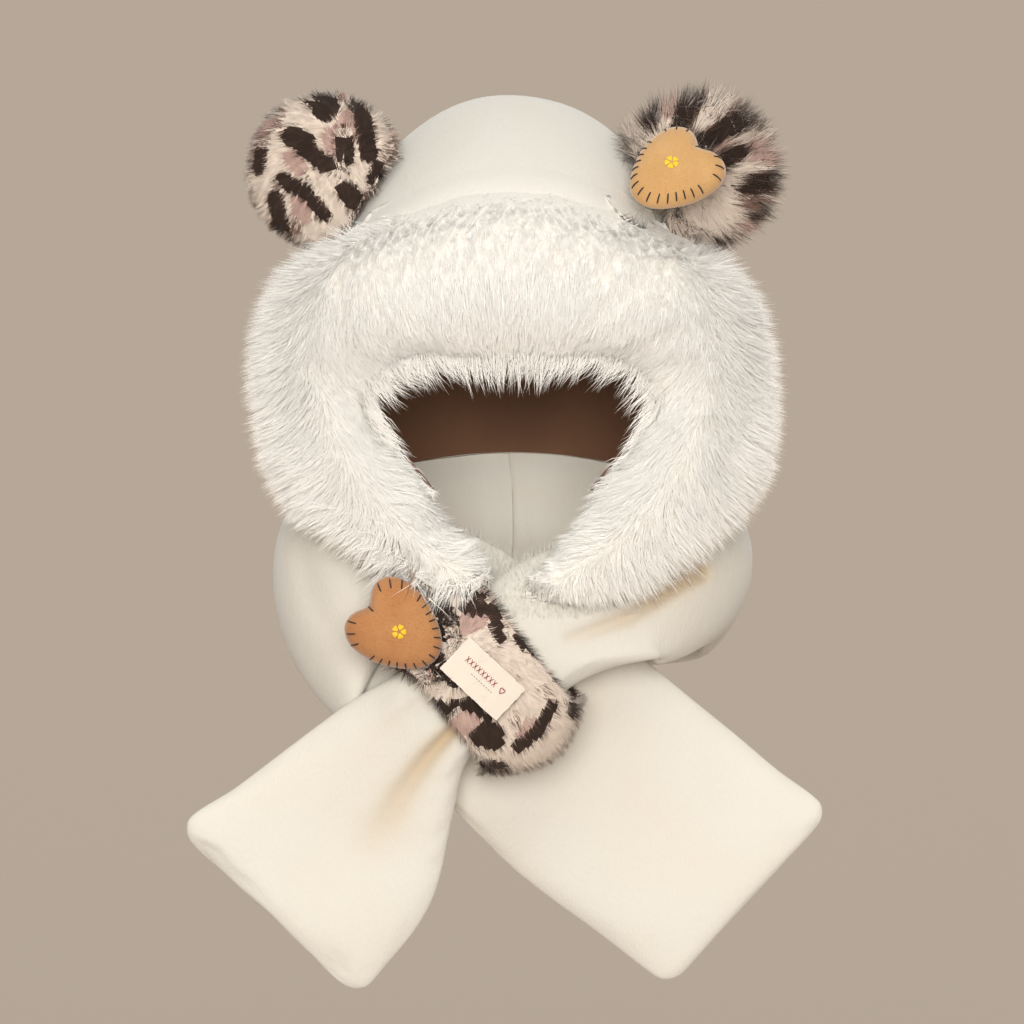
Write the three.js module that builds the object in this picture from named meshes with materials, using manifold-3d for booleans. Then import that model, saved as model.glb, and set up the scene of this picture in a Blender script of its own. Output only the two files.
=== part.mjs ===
// A plush hood scarf with animal ears, in millimetres, +Z up, the face opening towards -Y.
// The origin is the top of the inside, where the crown of a head meets the lining.
// The hood is one star-shaped form about a neck centre. A place on it is a turn, 0 degrees to the
// front and 180 to the back of the neck, and a swing, 0 at +X, 90 at the crown and -90 under the chin.
import * as THREE from "three";
import Module from "manifold-3d";
import { mergeVertices } from "three/addons/utils/BufferGeometryUtils.js";

const wasm = await Module();
wasm.setup();

// Hood
const CROWN_RISE = 217; // neck centre to the crown's middle surface
const HALF_WIDTH = 126; // neck centre to the side of the hood
const NECK_BACK = 88; // neck centre to the nape
const CHIN_REACH = 122; // neck centre to the form under the chin
const PEAK_RISE = 6; // soft point of the crown
const ROUNDNESS = 2.25; // exponent of the superellipse seen from the front
const HOOD_WALL = 8; // plush with its pile
const LINING = 2.4;
const SEAM_GAP = 0.5; // between sewn pieces
const FACET_ROOM = 1; // more gap where two pieces are split into facets differently
const RIM_SWING = -10; // degrees, the hood's lower rim
const FACE_RADIUS = 95; // neck centre to the corner of the face opening, seen from the front

// Fur round the face
const PILE = 34; // body of the long fur
const LOCK = 7; // how far a lock stands out of that body
const TRIM_END_SWING = -82; // degrees, where each end of the trim stops under the chin

// Ears
const EAR_RADIUS = 47;
const EAR_HALF_DEPTH = 21;
const EAR_SWING = 58; // degrees up from the side
const EAR_TURN = 80; // degrees from the front
const EAR_RISE = 32.5; // ear centre above the hood's middle surface
const EAR_LOCK = 4;

// Scarf
const SCARF_WIDTH = 144;
const SCARF_THICK = 16;
const HEM_ROUND = 13; // corner radius of a scarf end
const CREASE_REACH = 0.16; // half width of a crease, as a share of half the strip's width
const REAR_SLANT = -38.8; // degrees, the way the rear strip's end runs

// Holding loop
const LOOP_HALF_LENGTH = 50; // half of the gap that the scarf passes through, across the scarf
const LOOP_GAP = 34; // the same gap from back to front
const LOOP_WALL = 4;
const LOOP_HALF_BREADTH = 37; // along the scarf
const LOOP_PILE = 13;
const LOOP_LOCK = 3.5;
const LOOP_SLANT = 218.5; // degrees, the way the scarf end runs through the loop

// Charms and label
const CHARM_HALF_SIZE = 31;
const CHARM_HALF_DEPTH = 12;
const LEFT_CHARM_TILT = 52; // degrees, each tilt is counter-clockwise seen from the front
const RIGHT_CHARM_TILT = -48;
const RIGHT_CHARM_LEAN = -38; // degrees, its lower side to the front
const LABEL_LENGTH = 45;
const LABEL_BREADTH = 25;
const LABEL_THICK = 1.2;
const LABEL_BEND = 1.4; // its ends behind its middle
const LABEL_TILT = -43;
const SEAT_GAP = 0.35; // left round a piece that is pressed into fur
const SEAT_DEPTH = 5; // how far a charm is pressed into fur

// The hood's reach at each turn, as a share of the way from NECK_BACK to the size of its column
const HOOD_SECTIONS = [
  { turn: 0, top: 0.1, side: 0.62, below: 0.8 },
  { turn: 20, top: 0.3, side: 0.79, below: 1.0 },
  { turn: 35, top: 0.575, side: 0.97, below: 1.06 },
  { turn: 50, top: 0.745, side: 1.05, below: 1.0 },
  { turn: 70, top: 0.915, side: 1.06, below: 0.88 },
  { turn: 90, top: 1.0, side: 1.0, below: 0.76 },
  { turn: 110, top: 0.9, side: 0.94, below: 0.65 },
  { turn: 130, top: 0.615, side: 0.74, below: 0.47 },
  { turn: 150, top: 0.29, side: 0.4, below: 0.26 },
  { turn: 165, top: 0.095, side: 0.18, below: 0.12 },
  { turn: 180, top: 0, side: 0, below: 0 },
];

// Round the face, by degrees away from the crown: the radius of the opening as a share of FACE_RADIUS,
// the turns where the trim ends on the wearer's right and left, and the pile as a share of PILE
const FACE_SECTIONS = [
  { away: 0, opening: 0.68, edgeRight: 67, edgeLeft: 67, pile: 0.8 },
  { away: 24, opening: 0.74, edgeRight: 70, edgeLeft: 70, pile: 0.85 },
  { away: 42, opening: 0.9, edgeRight: 80, edgeLeft: 80, pile: 0.98 },
  { away: 54, opening: 1.0, edgeRight: 85, edgeLeft: 85, pile: 1.0 },
  { away: 65, opening: 0.96, edgeRight: 88, edgeLeft: 88, pile: 1.0 },
  { away: 72, opening: 0.82, edgeRight: 88, edgeLeft: 88, pile: 1.0 },
  { away: 80, opening: 0.68, edgeRight: 86, edgeLeft: 87, pile: 0.99 },
  { away: 90, opening: 0.57, edgeRight: 82, edgeLeft: 84, pile: 0.95 },
  { away: 100, opening: 0.51, edgeRight: 70, edgeLeft: 74, pile: 0.9 },
  { away: 112, opening: 0.48, edgeRight: 52, edgeLeft: 57, pile: 0.8 },
  { away: 138, opening: 0.48, edgeRight: 40, edgeLeft: 45, pile: 0.66 },
  { away: 158, opening: 0.54, edgeRight: 36, edgeLeft: 38, pile: 0.53 },
  { away: 175, opening: 0.58, edgeRight: 34, edgeLeft: 35, pile: 0.4 },
];

// Height of the fur across the trim, from the face to the hood, as a share of the pile there
const FUR_PROFILE = [
  { across: 0, height: 0.3 },
  { across: 0.08, height: 0.62 },
  { across: 0.25, height: 0.92 },
  { across: 0.5, height: 1.0 },
  { across: 0.75, height: 0.86 },
  { across: 0.92, height: 0.5 },
  { across: 1, height: 0.2 },
];

// Scarf rows beside the hood: the upper edge by turn, degrees under the hood's rim and share of the
// hood's reach there, and from it the lower edge, outwards from the neck and down, with the bulge, in
// shares of SCARF_WIDTH
const COLLAR_RIGHT = [
  { turn: 180, under: 0, inset: 1, out: 0.02, down: 0.93, bulge: 0.06, thick: 1 },
  { turn: 150, under: 0, inset: 1, out: 0.06, down: 0.92, bulge: 0.06, thick: 1 },
  { turn: 120, under: 0, inset: 1, out: 0.02, down: 0.86, bulge: 0.08, thick: 1 },
  { turn: 92, under: 0, inset: 1, out: -0.08, down: 0.76, bulge: 0.1, thick: 1.1 },
  { turn: 70, under: 1.5, inset: 0.99, out: -0.08, down: 0.82, bulge: 0.07, thick: 1.1 },
  { turn: 50, under: 10, inset: 0.88, out: 0.1, down: 0.85, bulge: 0.02, thick: 1 },
];
const COLLAR_LEFT = [
  { turn: 180, under: 0, inset: 1, out: 0.02, down: 0.93, bulge: 0.06, thick: 1 },
  { turn: 150, under: 0, inset: 1, out: 0.06, down: 0.9, bulge: 0.06, thick: 1 },
  { turn: 120, under: 0, inset: 1, out: 0.04, down: 0.76, bulge: 0.08, thick: 1.1 },
  { turn: 92, under: 0, inset: 1, out: -0.08, down: 0.6, bulge: 0.1, thick: 1.2 },
  { turn: 70, under: 1.5, inset: 0.99, out: -0.08, down: 0.58, bulge: 0.07, thick: 1.3 },
  { turn: 50, under: 10, inset: 0.9, out: 0.03, down: 0.58, bulge: 0.04, thick: 1.4 },
];

// Front rows, along and across the way the strip runs from the crossing, in shares of SCARF_WIDTH. The
// front strip is gathered by the loop. The far edge lags behind the near one; creaseAt runs from -1 at
// the near edge to 1 at the far edge
const FRONT_STRIP = [
  { along: -0.58, lag: 0, near: -0.22, far: 0.4, back: 0.07, thick: 1.35, creaseAt: 0.35, crease: 0.3 },
  { along: -0.33, lag: 0, near: -0.29, far: 0.28, back: 0.02, thick: 1.5, creaseAt: 0.3, crease: 0.25 },
  { along: 0, lag: 0, near: -0.27, far: 0.27, back: 0, thick: 1.6, creaseAt: 0.2, crease: 0.1 },
  { along: 0.26, lag: 0, near: -0.24, far: 0.24, back: 0, thick: 1.6, creaseAt: 0.25, crease: 0.3 },
  { along: 0.48, lag: 0, near: -0.27, far: 0.41, back: 0.03, thick: 1.3, creaseAt: 0.25, crease: 0.42 },
  { along: 0.84, lag: 0.06, near: -0.28, far: 0.63, back: 0.06, thick: 1.05, creaseAt: 0.15, crease: 0.2 },
  { along: 1.31, lag: 0.16, near: -0.28, far: 0.72, back: 0.06, thick: 1, creaseAt: 0.1, crease: 0 },
];
const REAR_STRIP = [
  { along: -0.36, lag: 0, near: -0.42, far: 0.5, back: 0.02, thick: 1, creaseAt: 0, crease: 0 },
  { along: 0, lag: 0, near: -0.46, far: 0.52, back: 0, thick: 1, creaseAt: 0, crease: 0 },
  { along: 0.3, lag: 0, near: -0.46, far: 0.56, back: 0.05, thick: 1, creaseAt: 0, crease: 0 },
  { along: 0.6, lag: 0, near: -0.45, far: 0.6, back: 0.17, thick: 1, creaseAt: 0, crease: 0 },
  { along: 0.95, lag: 0.03, near: -0.44, far: 0.6, back: 0.2, thick: 1, creaseAt: 0, crease: 0 },
  { along: 1.4, lag: 0.06, near: -0.43, far: 0.575, back: 0.16, thick: 1, creaseAt: 0, crease: 0 },
];

const radians = THREE.MathUtils.degToRad;

/** One column of a table at a place between its rows, on a smooth curve through them. */
function read(table, by, column, at) {
  const last = table.length - 1;
  let i = table.findIndex((row) => row[by] >= at);
  if (i < 0) i = last;
  i = Math.max(i, 1);
  const [x0, x1] = [table[i - 1][by], table[i][by]];
  const [y0, y1] = [table[i - 1][column], table[i][column]];
  const slope = (k) => {
    const [a, b] = [table[Math.max(k - 1, 0)], table[Math.min(k + 1, last)]];
    return (b[column] - a[column]) / (b[by] - a[by]);
  };
  const t = THREE.MathUtils.clamp((at - x0) / (x1 - x0), 0, 1);
  const [m0, m1] = [slope(i - 1) * (x1 - x0), slope(i) * (x1 - x0)];
  const [t2, t3] = [t * t, t * t * t];
  return (2 * t3 - 3 * t2 + 1) * y0 + (t3 - 2 * t2 + t) * m0 + (3 * t2 - 2 * t3) * y1 + (t3 - t2) * m1;
}

/** Distance from the neck centre to the hood's middle surface. */
function hoodReach(turn, swing) {
  const towards = (column, size) => NECK_BACK + read(HOOD_SECTIONS, "turn", column, turn) * (size - NECK_BACK);
  const up = Math.sin(radians(swing));
  const across = Math.abs(Math.cos(radians(swing)));
  const tall = up >= 0 ? towards("top", CROWN_RISE) : towards("below", CHIN_REACH);
  const wide = towards("side", HALF_WIDTH);
  const power = 2 + (ROUNDNESS - 2) * Math.sin(radians(turn));
  const round = (across / wide) ** power + (Math.abs(up) / tall) ** power;
  const peak = Math.exp(-(((swing - 90) / 14) ** 2)) * Math.exp(-(((turn - 84) / 30) ** 2));
  return round ** (-1 / power) + PEAK_RISE * peak;
}

/** A point about the neck centre. */
function polar(turn, swing, reach) {
  const side = Math.sin(radians(turn)) * reach;
  return new THREE.Vector3(
    side * Math.cos(radians(swing)),
    -Math.cos(radians(turn)) * reach,
    side * Math.sin(radians(swing)),
  );
}

/** A point on the hood, a distance outside its middle surface. */
function onHood(turn, swing, outside = 0) {
  return polar(turn, swing, hoodReach(turn, swing) + outside);
}

/** The turn at which the hood's front edge lies, where its radius seen from the front is the opening's. */
function openingTurn(swing) {
  const radius = FACE_RADIUS * read(FACE_SECTIONS, "away", "opening", Math.abs(swing - 90));
  let turn = 30;
  for (let step = 0; step < 12; step += 1) {
    const sine = Math.min(radius / hoodReach(turn, swing), 0.98);
    turn = (turn + THREE.MathUtils.radToDeg(Math.asin(sine))) / 2;
  }
  return turn;
}

/** The turn at which the trim's outer edge lies. */
function trimTurn(swing) {
  return read(FACE_SECTIONS, "away", swing > 90 ? "edgeRight" : "edgeLeft", Math.abs(swing - 90));
}

/** The swing of the hood's lower rim, which rises smoothly to the nape. */
function rimSwing(turn) {
  return RIM_SWING * (turn > 90 ? Math.sin(radians(turn)) : 1);
}

/** The swing at a share of the way over the hood, from its rim on one side to its rim on the other. */
function swingAt(turn, round) {
  return rimSwing(turn) + (180 - 2 * rimSwing(turn)) * round;
}

/** A closed geometry through rings of points. The last ring joins the first, or both are capped by bands
 * between the first and second half of their points. */
function loft(rings, joined = false) {
  const sides = rings[0].length;
  const points = rings.flat();
  const faces = [];
  const spans = joined ? rings.length : rings.length - 1;
  for (let i = 0; i < spans; i += 1) {
    const [low, high] = [i * sides, ((i + 1) % rings.length) * sides];
    for (let j = 0; j < sides; j += 1) {
      const k = (j + 1) % sides;
      faces.push([low + j, low + k, high + k], [low + j, high + k, high + j]);
    }
  }
  if (!joined) {
    [0, rings.length - 1].forEach((end) => {
      const base = end * sides;
      for (let j = 0; j < sides / 2 - 1; j += 1) {
        const corners = [base + j, base + j + 1, base + sides - 2 - j, base + sides - 1 - j];
        const [a, b, c, d] = end ? corners : corners.reverse();
        faces.push([a, b, c], [a, c, d]);
      }
    });
  }
  const geometry = new THREE.BufferGeometry().setFromPoints(points);
  geometry.setIndex(faces.flat());
  return facingOut(mergeVertices(geometry, 1e-3));
}

/** The geometry without collapsed triangles, turned so that its faces point outwards. */
function facingOut(geometry) {
  const place = geometry.getAttribute("position");
  const index = [...geometry.index.array];
  const kept = [];
  let volume = 0;
  const corner = (i) => new THREE.Vector3().fromBufferAttribute(place, i);
  for (let i = 0; i < index.length; i += 3) {
    const [a, b, c] = index.slice(i, i + 3);
    if (a !== b && b !== c && c !== a) {
      kept.push(a, b, c);
      volume += corner(a).dot(corner(b).cross(corner(c)));
    }
  }
  if (volume < 0) {
    kept.reverse();
  }
  geometry.setIndex(kept);
  return geometry;
}

/** A closed geometry as a solid for cutting. */
function solid(geometry) {
  const { array } = geometry.getAttribute("position");
  const triVerts = new Uint32Array(geometry.index.array);
  return new wasm.Manifold(new wasm.Mesh({ numProp: 3, vertProperties: array, triVerts }));
}

/** A solid as a geometry. */
function geometryOf(made) {
  const { vertProperties, triVerts } = made.getMesh();
  const geometry = new THREE.BufferGeometry();
  geometry.setAttribute("position", new THREE.BufferAttribute(vertProperties, 3));
  geometry.setIndex(new THREE.BufferAttribute(triVerts, 1));
  return geometry;
}

/** The largest body left when others are cut out of a geometry. */
function cut(geometry, ...tools) {
  const left = tools.reduce((rest, tool) => rest.subtract(solid(tool)), solid(geometry));
  return geometryOf(left.decompose().sort((a, b) => b.volume() - a.volume())[0]);
}

/** Numbers in equal steps, both ends among them. */
function steps(from, to, count) {
  return Array.from({ length: count + 1 }, (_, i) => from + ((to - from) * i) / count);
}

/** A curved wall that follows the hood, between two distances from its middle surface. Two walls that
 * meet are split into triangles the same way where one of them is flipped. */
function hoodWall(inner, outer, flipped = false) {
  const [sections, turns] = [26, 12];
  const section = (round) => {
    const start = openingTurn(swingAt(0, round));
    const places = steps(0, 1, turns).map((share) => start + (180 - start) * share);
    const inside = places.map((turn) => onHood(turn, swingAt(turn, round), inner));
    const outside = places.map((turn) => onHood(turn, swingAt(turn, round), outer));
    return flipped ? [...inside, ...outside.reverse()] : [...outside, ...inside.reverse()];
  };
  return loft(steps(0, 1, sections).map(section));
}

/** The space that the hood closes round, out to a distance from its middle surface. */
function hoodForm(outside) {
  const ring = (turn) =>
    steps(0, 360, 52).slice(1).map((swing) => onHood(turn, swing > 270 ? swing - 360 : swing, outside));
  return loft(steps(1, 179, 32).map(ring));
}

/** Long fur in locks on a backing that follows the hood round the face, hollowed where others press in. */
function furTrim(...pressed) {
  const [locksRound, locksAcross, backingSteps] = [64, 8, 8];
  const base = HOOD_WALL / 2 + SEAM_GAP + FACET_ROOM;
  const endFade = 16;
  const fur = loft(
    steps(TRIM_END_SWING, 180 - TRIM_END_SWING, locksRound).map((swing, i) => {
      const [start, end] = [openingTurn(swing), trimTurn(swing)];
      const fromEnd = Math.min(swing - TRIM_END_SWING, 180 - TRIM_END_SWING - swing);
      const fade = 0.45 + 0.55 * Math.sin((Math.PI / 2) * Math.min(fromEnd / endFade, 1));
      const pile = PILE * fade * read(FACE_SECTIONS, "away", "pile", Math.abs(swing - 90));
      const backing = steps(0, 1, backingSteps).map((share) => onHood(start + (end - start) * share, swing, base));
      const locks = steps(0, 1, locksAcross).map((share, j) => {
        const tip = (i + j) % 2 === 0 && j > 0 && j < locksAcross;
        const height = base + pile * read(FUR_PROFILE, "across", "height", share) + (tip ? LOCK * fade : 0);
        const lean = tip ? -2.2 : 0;
        return onHood(start + (end - start) * share + lean, swing, height);
      });
      return [...backing, ...locks.reverse()];
    }),
  );
  return cut(fur, ...pressed);
}

/** A round pad in locks of short fur, its flat sides to the front and back, grown by a gap for cutting. */
function earPad(grown) {
  const [round, deep] = [26, 12];
  const ring = (level, i) =>
    steps(0, 360, round).slice(1).map((angle, j) => {
      const tip = (i + j) % 2 === 0 ? EAR_LOCK : 0;
      const flat = Math.sign(Math.cos(level)) * Math.abs(Math.cos(level)) ** 0.8;
      const out = Math.abs(Math.sin(level)) ** 0.72 * (EAR_RADIUS + tip + grown);
      return new THREE.Vector3(
        out * Math.cos(radians(angle)),
        -flat * (EAR_HALF_DEPTH + tip + grown),
        out * Math.sin(radians(angle)),
      );
    });
  return loft(steps(0.16, Math.PI - 0.16, deep).map(ring));
}

/** Where an ear's centre lies about the neck centre, on the left as seen from the front if side is -1. */
function earCentre(side) {
  const place = onHood(EAR_TURN, EAR_SWING, EAR_RISE);
  return place.setX(place.x * side);
}

/** An ear before it is seated, grown by a gap for cutting. */
function earAt(side, grown = 0) {
  const centre = earCentre(side);
  return earPad(grown).translate(centre.x, centre.y, centre.z);
}

/** An ear, hollowed where it sits on the hood and where a charm is pressed into it. */
function ear(side, ...charms) {
  return cut(earAt(side), hoodForm(HOOD_WALL / 2 + SEAM_GAP + FACET_ROOM), ...charms);
}

/** The crossing of the scarf ends, about the neck centre. */
const CROSSING = new THREE.Vector3(-0.127 * HALF_WIDTH, -0.845 * CHIN_REACH, -0.96 * CHIN_REACH);
const ALONG_FRONT = new THREE.Vector3(Math.cos(radians(LOOP_SLANT)), 0, Math.sin(radians(LOOP_SLANT)));
const ACROSS_FRONT = new THREE.Vector3(-ALONG_FRONT.z, 0, ALONG_FRONT.x);
const ALONG_REAR =new THREE.Vector3(Math.cos(radians(REAR_SLANT)), 0, Math.sin(radians(REAR_SLANT)));
const ACROSS_REAR = new THREE.Vector3(ALONG_REAR.z, 0, -ALONG_REAR.x);

/** The two edges of a scarf strip beside the hood. */
function collarRow(row, side) {
  const swing = rimSwing(row.turn) - row.under;
  const upper = polar(row.turn, swing, hoodReach(row.turn, swing) * row.inset);
  upper.z -= SEAM_GAP * 1.6;
  const outwards = new THREE.Vector3(upper.x, upper.y, 0).normalize();
  const lower = upper.clone().addScaledVector(outwards, row.out * SCARF_WIDTH);
  lower.z -= row.down * SCARF_WIDTH;
  [upper, lower].forEach((point) => point.setX(point.x * side));
  return { near: upper, far: lower, thick: row.thick, bulge: row.bulge, creaseAt: 0, crease: 0 };
}

/** The two edges of a scarf strip at the front, from the middle of its crossing. */
function frontRow(row, middle, along, across) {
  const place = (onward, share) =>
    middle.clone().addScaledVector(along, onward * SCARF_WIDTH).addScaledVector(across, share * SCARF_WIDTH)
      .setY(middle.y + row.back * SCARF_WIDTH);
  return { ...row, near: place(row.along, row.near), far: place(row.along - row.lag, row.far), bulge: 0 };
}

/** A padded strip through its rows, closed by a rounded hem, grown by a gap for cutting what lies on it. */
function strip(rows, side, grown) {
  const [stations, sides, hemSteps] = [32, 16, 3];
  const curve = (pick) => new THREE.CatmullRomCurve3(rows.map(pick), false, "centripetal");
  const edges = { near: curve((row) => row.near), far: curve((row) => row.far) };
  const middle = curve((row) => row.near.clone().add(row.far).multiplyScalar(0.5));
  const table = rows.map((row, i) => ({ ...row, at: i / (rows.length - 1) }));
  const at = (t, inset, thin, onward) => {
    const [near, far] = [edges.near.getPoint(t), edges.far.getPoint(t)];
    const tangent = middle.getTangent(t);
    const width = far.clone().sub(near);
    const half = width.length() / 2 - inset + grown;
    width.normalize();
    const out = new THREE.Vector3().crossVectors(tangent, width).multiplyScalar(side).normalize();
    const centre = near.add(far).multiplyScalar(0.5).addScaledVector(tangent, onward);
    const value = (column) => read(table, "at", column, t);
    const deep = (SCARF_THICK / 2) * value("thick") * thin + grown;
    return steps(0, 360, sides).slice(1).map((angle) => {
      const [c, s] = [Math.cos(radians(angle)), Math.sin(radians(angle))];
      const x = Math.sign(c) * Math.abs(c) ** 0.75;
      const groove = 2 * value("crease") * deep * Math.exp(-(((x - value("creaseAt")) / CREASE_REACH) ** 2));
      const y = Math.sign(s) * Math.abs(s) ** 0.8 * deep + value("bulge") * SCARF_WIDTH * (1 - x * x);
      const point = centre.clone().addScaledVector(width, x * half).addScaledVector(out, y - (s > 0 ? groove : 0));
      return point.y > 0 ? point.setX(Math.max(point.x * side, SEAM_GAP / 2 - grown) * side) : point;
    });
  };
  const body = steps(0, 1, stations).map((t) => at(t, 0, 1, 0));
  const hem = steps(0, 1, hemSteps).slice(1).map((share) => {
    const bend = (Math.PI / 2) * share * 0.96;
    return at(1, HEM_ROUND * (1 - Math.cos(bend)), Math.cos(bend) ** 0.6, HEM_ROUND * Math.sin(bend));
  });
  return loft([...body, ...hem]);
}

/** The strip that passes through the loop and hangs to the wearer's right. */
function scarfLeft(grown = 0) {
  const front = FRONT_STRIP.map((row) => frontRow(row, CROSSING, ALONG_FRONT, ACROSS_FRONT));
  return strip([...COLLAR_LEFT.map((row) => collarRow(row, 1)), ...front], 1, grown);
}

/** The strip that carries the loop and hangs to the wearer's left. */
function scarfRight(grown = 0) {
  const behind = CROSSING.clone();
  behind.y += LOOP_GAP / 2 + LOOP_WALL + SCARF_THICK / 2 + SEAM_GAP;
  const front = REAR_STRIP.map((row) => frontRow(row, behind, ALONG_REAR, ACROSS_REAR));
  return strip([...COLLAR_RIGHT.map((row) => collarRow(row, -1)), ...front], -1, grown);
}

/** The furry loop, grown by a gap for cutting what lies on it, and hollowed where others press in. */
function holdingLoop(grown, ...pressed) {
  const [round, breadth] = [40, 6];
  const halfGap = LOOP_GAP / 2;
  const rings = steps(0, 360, round).slice(1).map((angle, i) => {
    const [c, s] = [Math.cos(radians(angle)), Math.sin(radians(angle))];
    const across = Math.sign(c) * Math.abs(c) ** 0.7 * LOOP_HALF_LENGTH;
    const out = Math.sign(s) * Math.abs(s) ** 0.62 * halfGap;
    const away = new THREE.Vector2(c * 0.7, s).normalize();
    const front = THREE.MathUtils.smoothstep(s, -0.9, 0.1);
    const place = (along, distance) =>
      CROSSING.clone().addScaledVector(ALONG_FRONT, along * LOOP_HALF_BREADTH)
        .addScaledVector(ALONG_FRONT, Math.sign(along) * grown)
        .addScaledVector(ACROSS_FRONT, across + away.x * distance)
        .add(new THREE.Vector3(0, -(out + away.y * distance), 0));
    const inside = steps(-1, 1, 2).map((along) => place(along, 0));
    const outside = steps(1, -1, breadth).map((along, j) => {
      const tip = (i + j) % 2 === 0 && Math.abs(along) < 1 ? LOOP_LOCK : 0;
      const crown = Math.sqrt(Math.max(1 - along ** 2 * 0.85, 0));
      return place(along * 1.12, LOOP_WALL + (LOOP_PILE * crown + tip) * front + grown);
    });
    return [...inside, ...outside];
  });
  return cut(loft(rings, true), ...pressed);
}

/** A stuffed heart, its front to -Y, grown by a gap for cutting its seat. */
function heart(grown = 0) {
  const [round, layers] = [28, 6];
  const [body, lobe, notchDepth, notchReach, pointLength, pointReach] = [0.84, 0.1, 0.3, 26, 0.34, 34];
  const outline = (angle) => {
    const upright = Math.abs(90 - angle) > 180 ? 360 - Math.abs(90 - angle) : Math.abs(90 - angle);
    const notch = notchDepth * Math.exp(-((upright / notchReach) ** 2));
    const point = pointLength * Math.exp(-(((180 - upright) / pointReach) ** 2));
    const lobes = lobe * Math.sin(radians(Math.min(upright * 2, 180)));
    return (body - notch + point + lobes) * CHARM_HALF_SIZE + grown;
  };
  const ring = (level) =>
    steps(0, 360, round).slice(1).map((angle) => {
      const out = outline(angle) * Math.sin(level) ** 0.7;
      const deep = (CHARM_HALF_DEPTH + grown) * Math.sign(Math.cos(level)) * Math.abs(Math.cos(level)) ** 0.9;
      return new THREE.Vector3(out * Math.cos(radians(angle)), -deep, out * Math.sin(radians(angle)));
    });
  return loft(steps(0.14, Math.PI - 0.14, layers).map(ring));
}

/** A label that bends with the loop, grown by a gap for cutting its seat. */
function label(grown = 0) {
  const half = LABEL_THICK / 2 + grown;
  const bend = (across) => LABEL_BEND * across * across;
  return loft(
    steps(-1, 1, 8).map((across) =>
      [[-1, 1], [1, 1], [1, -1], [-1, -1]].map(([along, outwards]) => new THREE.Vector3(
        across * (LABEL_LENGTH / 2 + grown),
        bend(across) - outwards * half,
        along * (LABEL_BREADTH / 2 + grown),
      )),
    ),
  );
}

/** Turns a geometry in its front plane, tips it, and moves it to a place about the neck centre. */
function placed(geometry, tilt, lean, place) {
  geometry.rotateY(radians(-tilt));
  geometry.rotateX(radians(lean));
  geometry.translate(place.x, place.y, place.z);
  return geometry;
}

/** The label on the tips of the loop's fur, grown by a gap for cutting its seat. */
function labelAt(grown) {
  const fromCentre = -0.04 * LOOP_HALF_LENGTH;
  const place = CROSSING.clone().addScaledVector(ACROSS_FRONT, fromCentre);
  place.y -= LOOP_GAP / 2 + LOOP_WALL + LOOP_PILE + LOOP_LOCK;
  return placed(label(grown), LABEL_TILT, 0, place);
}

/** The place of the charm on the loop, pressed into its upper end. */
function leftCharmPlace() {
  const [along, across] = [0.62 * LOOP_HALF_BREADTH, -1.22 * LOOP_HALF_LENGTH];
  const place = CROSSING.clone().addScaledVector(ALONG_FRONT, along).addScaledVector(ACROSS_FRONT, across);
  place.y -= LOOP_GAP / 2 + LOOP_WALL + CHARM_HALF_DEPTH - SEAT_DEPTH;
  return place;
}

/** The place of the charm on the ear, before its inner half. */
function rightCharmPlace() {
  const [inwards, upwards, before] = [0.25 * EAR_RADIUS, 0.1 * EAR_RADIUS, 0.5 * EAR_HALF_DEPTH];
  const place = earCentre(1);
  place.x -= inwards;
  place.z += upwards;
  place.y -= EAR_HALF_DEPTH + CHARM_HALF_DEPTH + before;
  return place;
}

const PLUSH = new THREE.MeshStandardMaterial({ color: 0xf3ede0, roughness: 0.95, metalness: 0 });
const WHITE_FUR = new THREE.MeshStandardMaterial({ color: 0xf4f0e8, roughness: 1, metalness: 0 });
const LINING_PLUSH = new THREE.MeshStandardMaterial({ color: 0x7a5238, roughness: 0.95, metalness: 0 });
const SPOTTED_FUR = new THREE.MeshStandardMaterial({ color: 0xa08c80, roughness: 1, metalness: 0 });
const TAN_PLUSH = new THREE.MeshStandardMaterial({ color: 0xd39a5e, roughness: 0.9, metalness: 0 });
const LABEL_CLOTH = new THREE.MeshStandardMaterial({ color: 0xf0e6d8, roughness: 0.8, metalness: 0 });

const insideTop = hoodReach(90, 90) - HOOD_WALL / 2 - SEAM_GAP - LINING;
const hoodScarf = new THREE.Group();
hoodScarf.position.z = -insideTop;

/** Adds one named piece to the hood scarf. */
function add(name, geometry, material) {
  const mesh = new THREE.Mesh(geometry, material);
  mesh.name = name;
  hoodScarf.add(mesh);
}

const half = HOOD_WALL / 2;
const leftCharm = (grown = 0) => placed(heart(grown), LEFT_CHARM_TILT, 0, leftCharmPlace());
const rightCharm = (grown = 0) => placed(heart(grown), RIGHT_CHARM_TILT, RIGHT_CHARM_LEAN, rightCharmPlace());

const trimNeighbours = [
  earAt(-1, SEAT_GAP),
  earAt(1, SEAT_GAP),
  leftCharm(SEAT_GAP),
  scarfLeft(SEAT_GAP),
  scarfRight(SEAT_GAP),
  holdingLoop(SEAT_GAP),
  rightCharm(SEAT_GAP),
];

add("hood_shell", hoodWall(-half, half), PLUSH);
add("hood_lining", hoodWall(-half - SEAM_GAP - LINING, -half - SEAM_GAP, true), LINING_PLUSH);
add("fur_trim", furTrim(...trimNeighbours), WHITE_FUR);
add("ear_left", ear(-1), SPOTTED_FUR);
add("ear_right", ear(1, rightCharm(SEAT_GAP)), SPOTTED_FUR);
add("scarf_left", scarfLeft(), PLUSH);
add("scarf_right", scarfRight(), PLUSH);
add("scarf_loop", holdingLoop(0, labelAt(SEAT_GAP), leftCharm(SEAT_GAP)), SPOTTED_FUR);
add("charm_left", leftCharm(), TAN_PLUSH);
add("charm_right", rightCharm(), TAN_PLUSH);
add("label", labelAt(0), LABEL_CLOTH);

export default hoodScarf;
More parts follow.
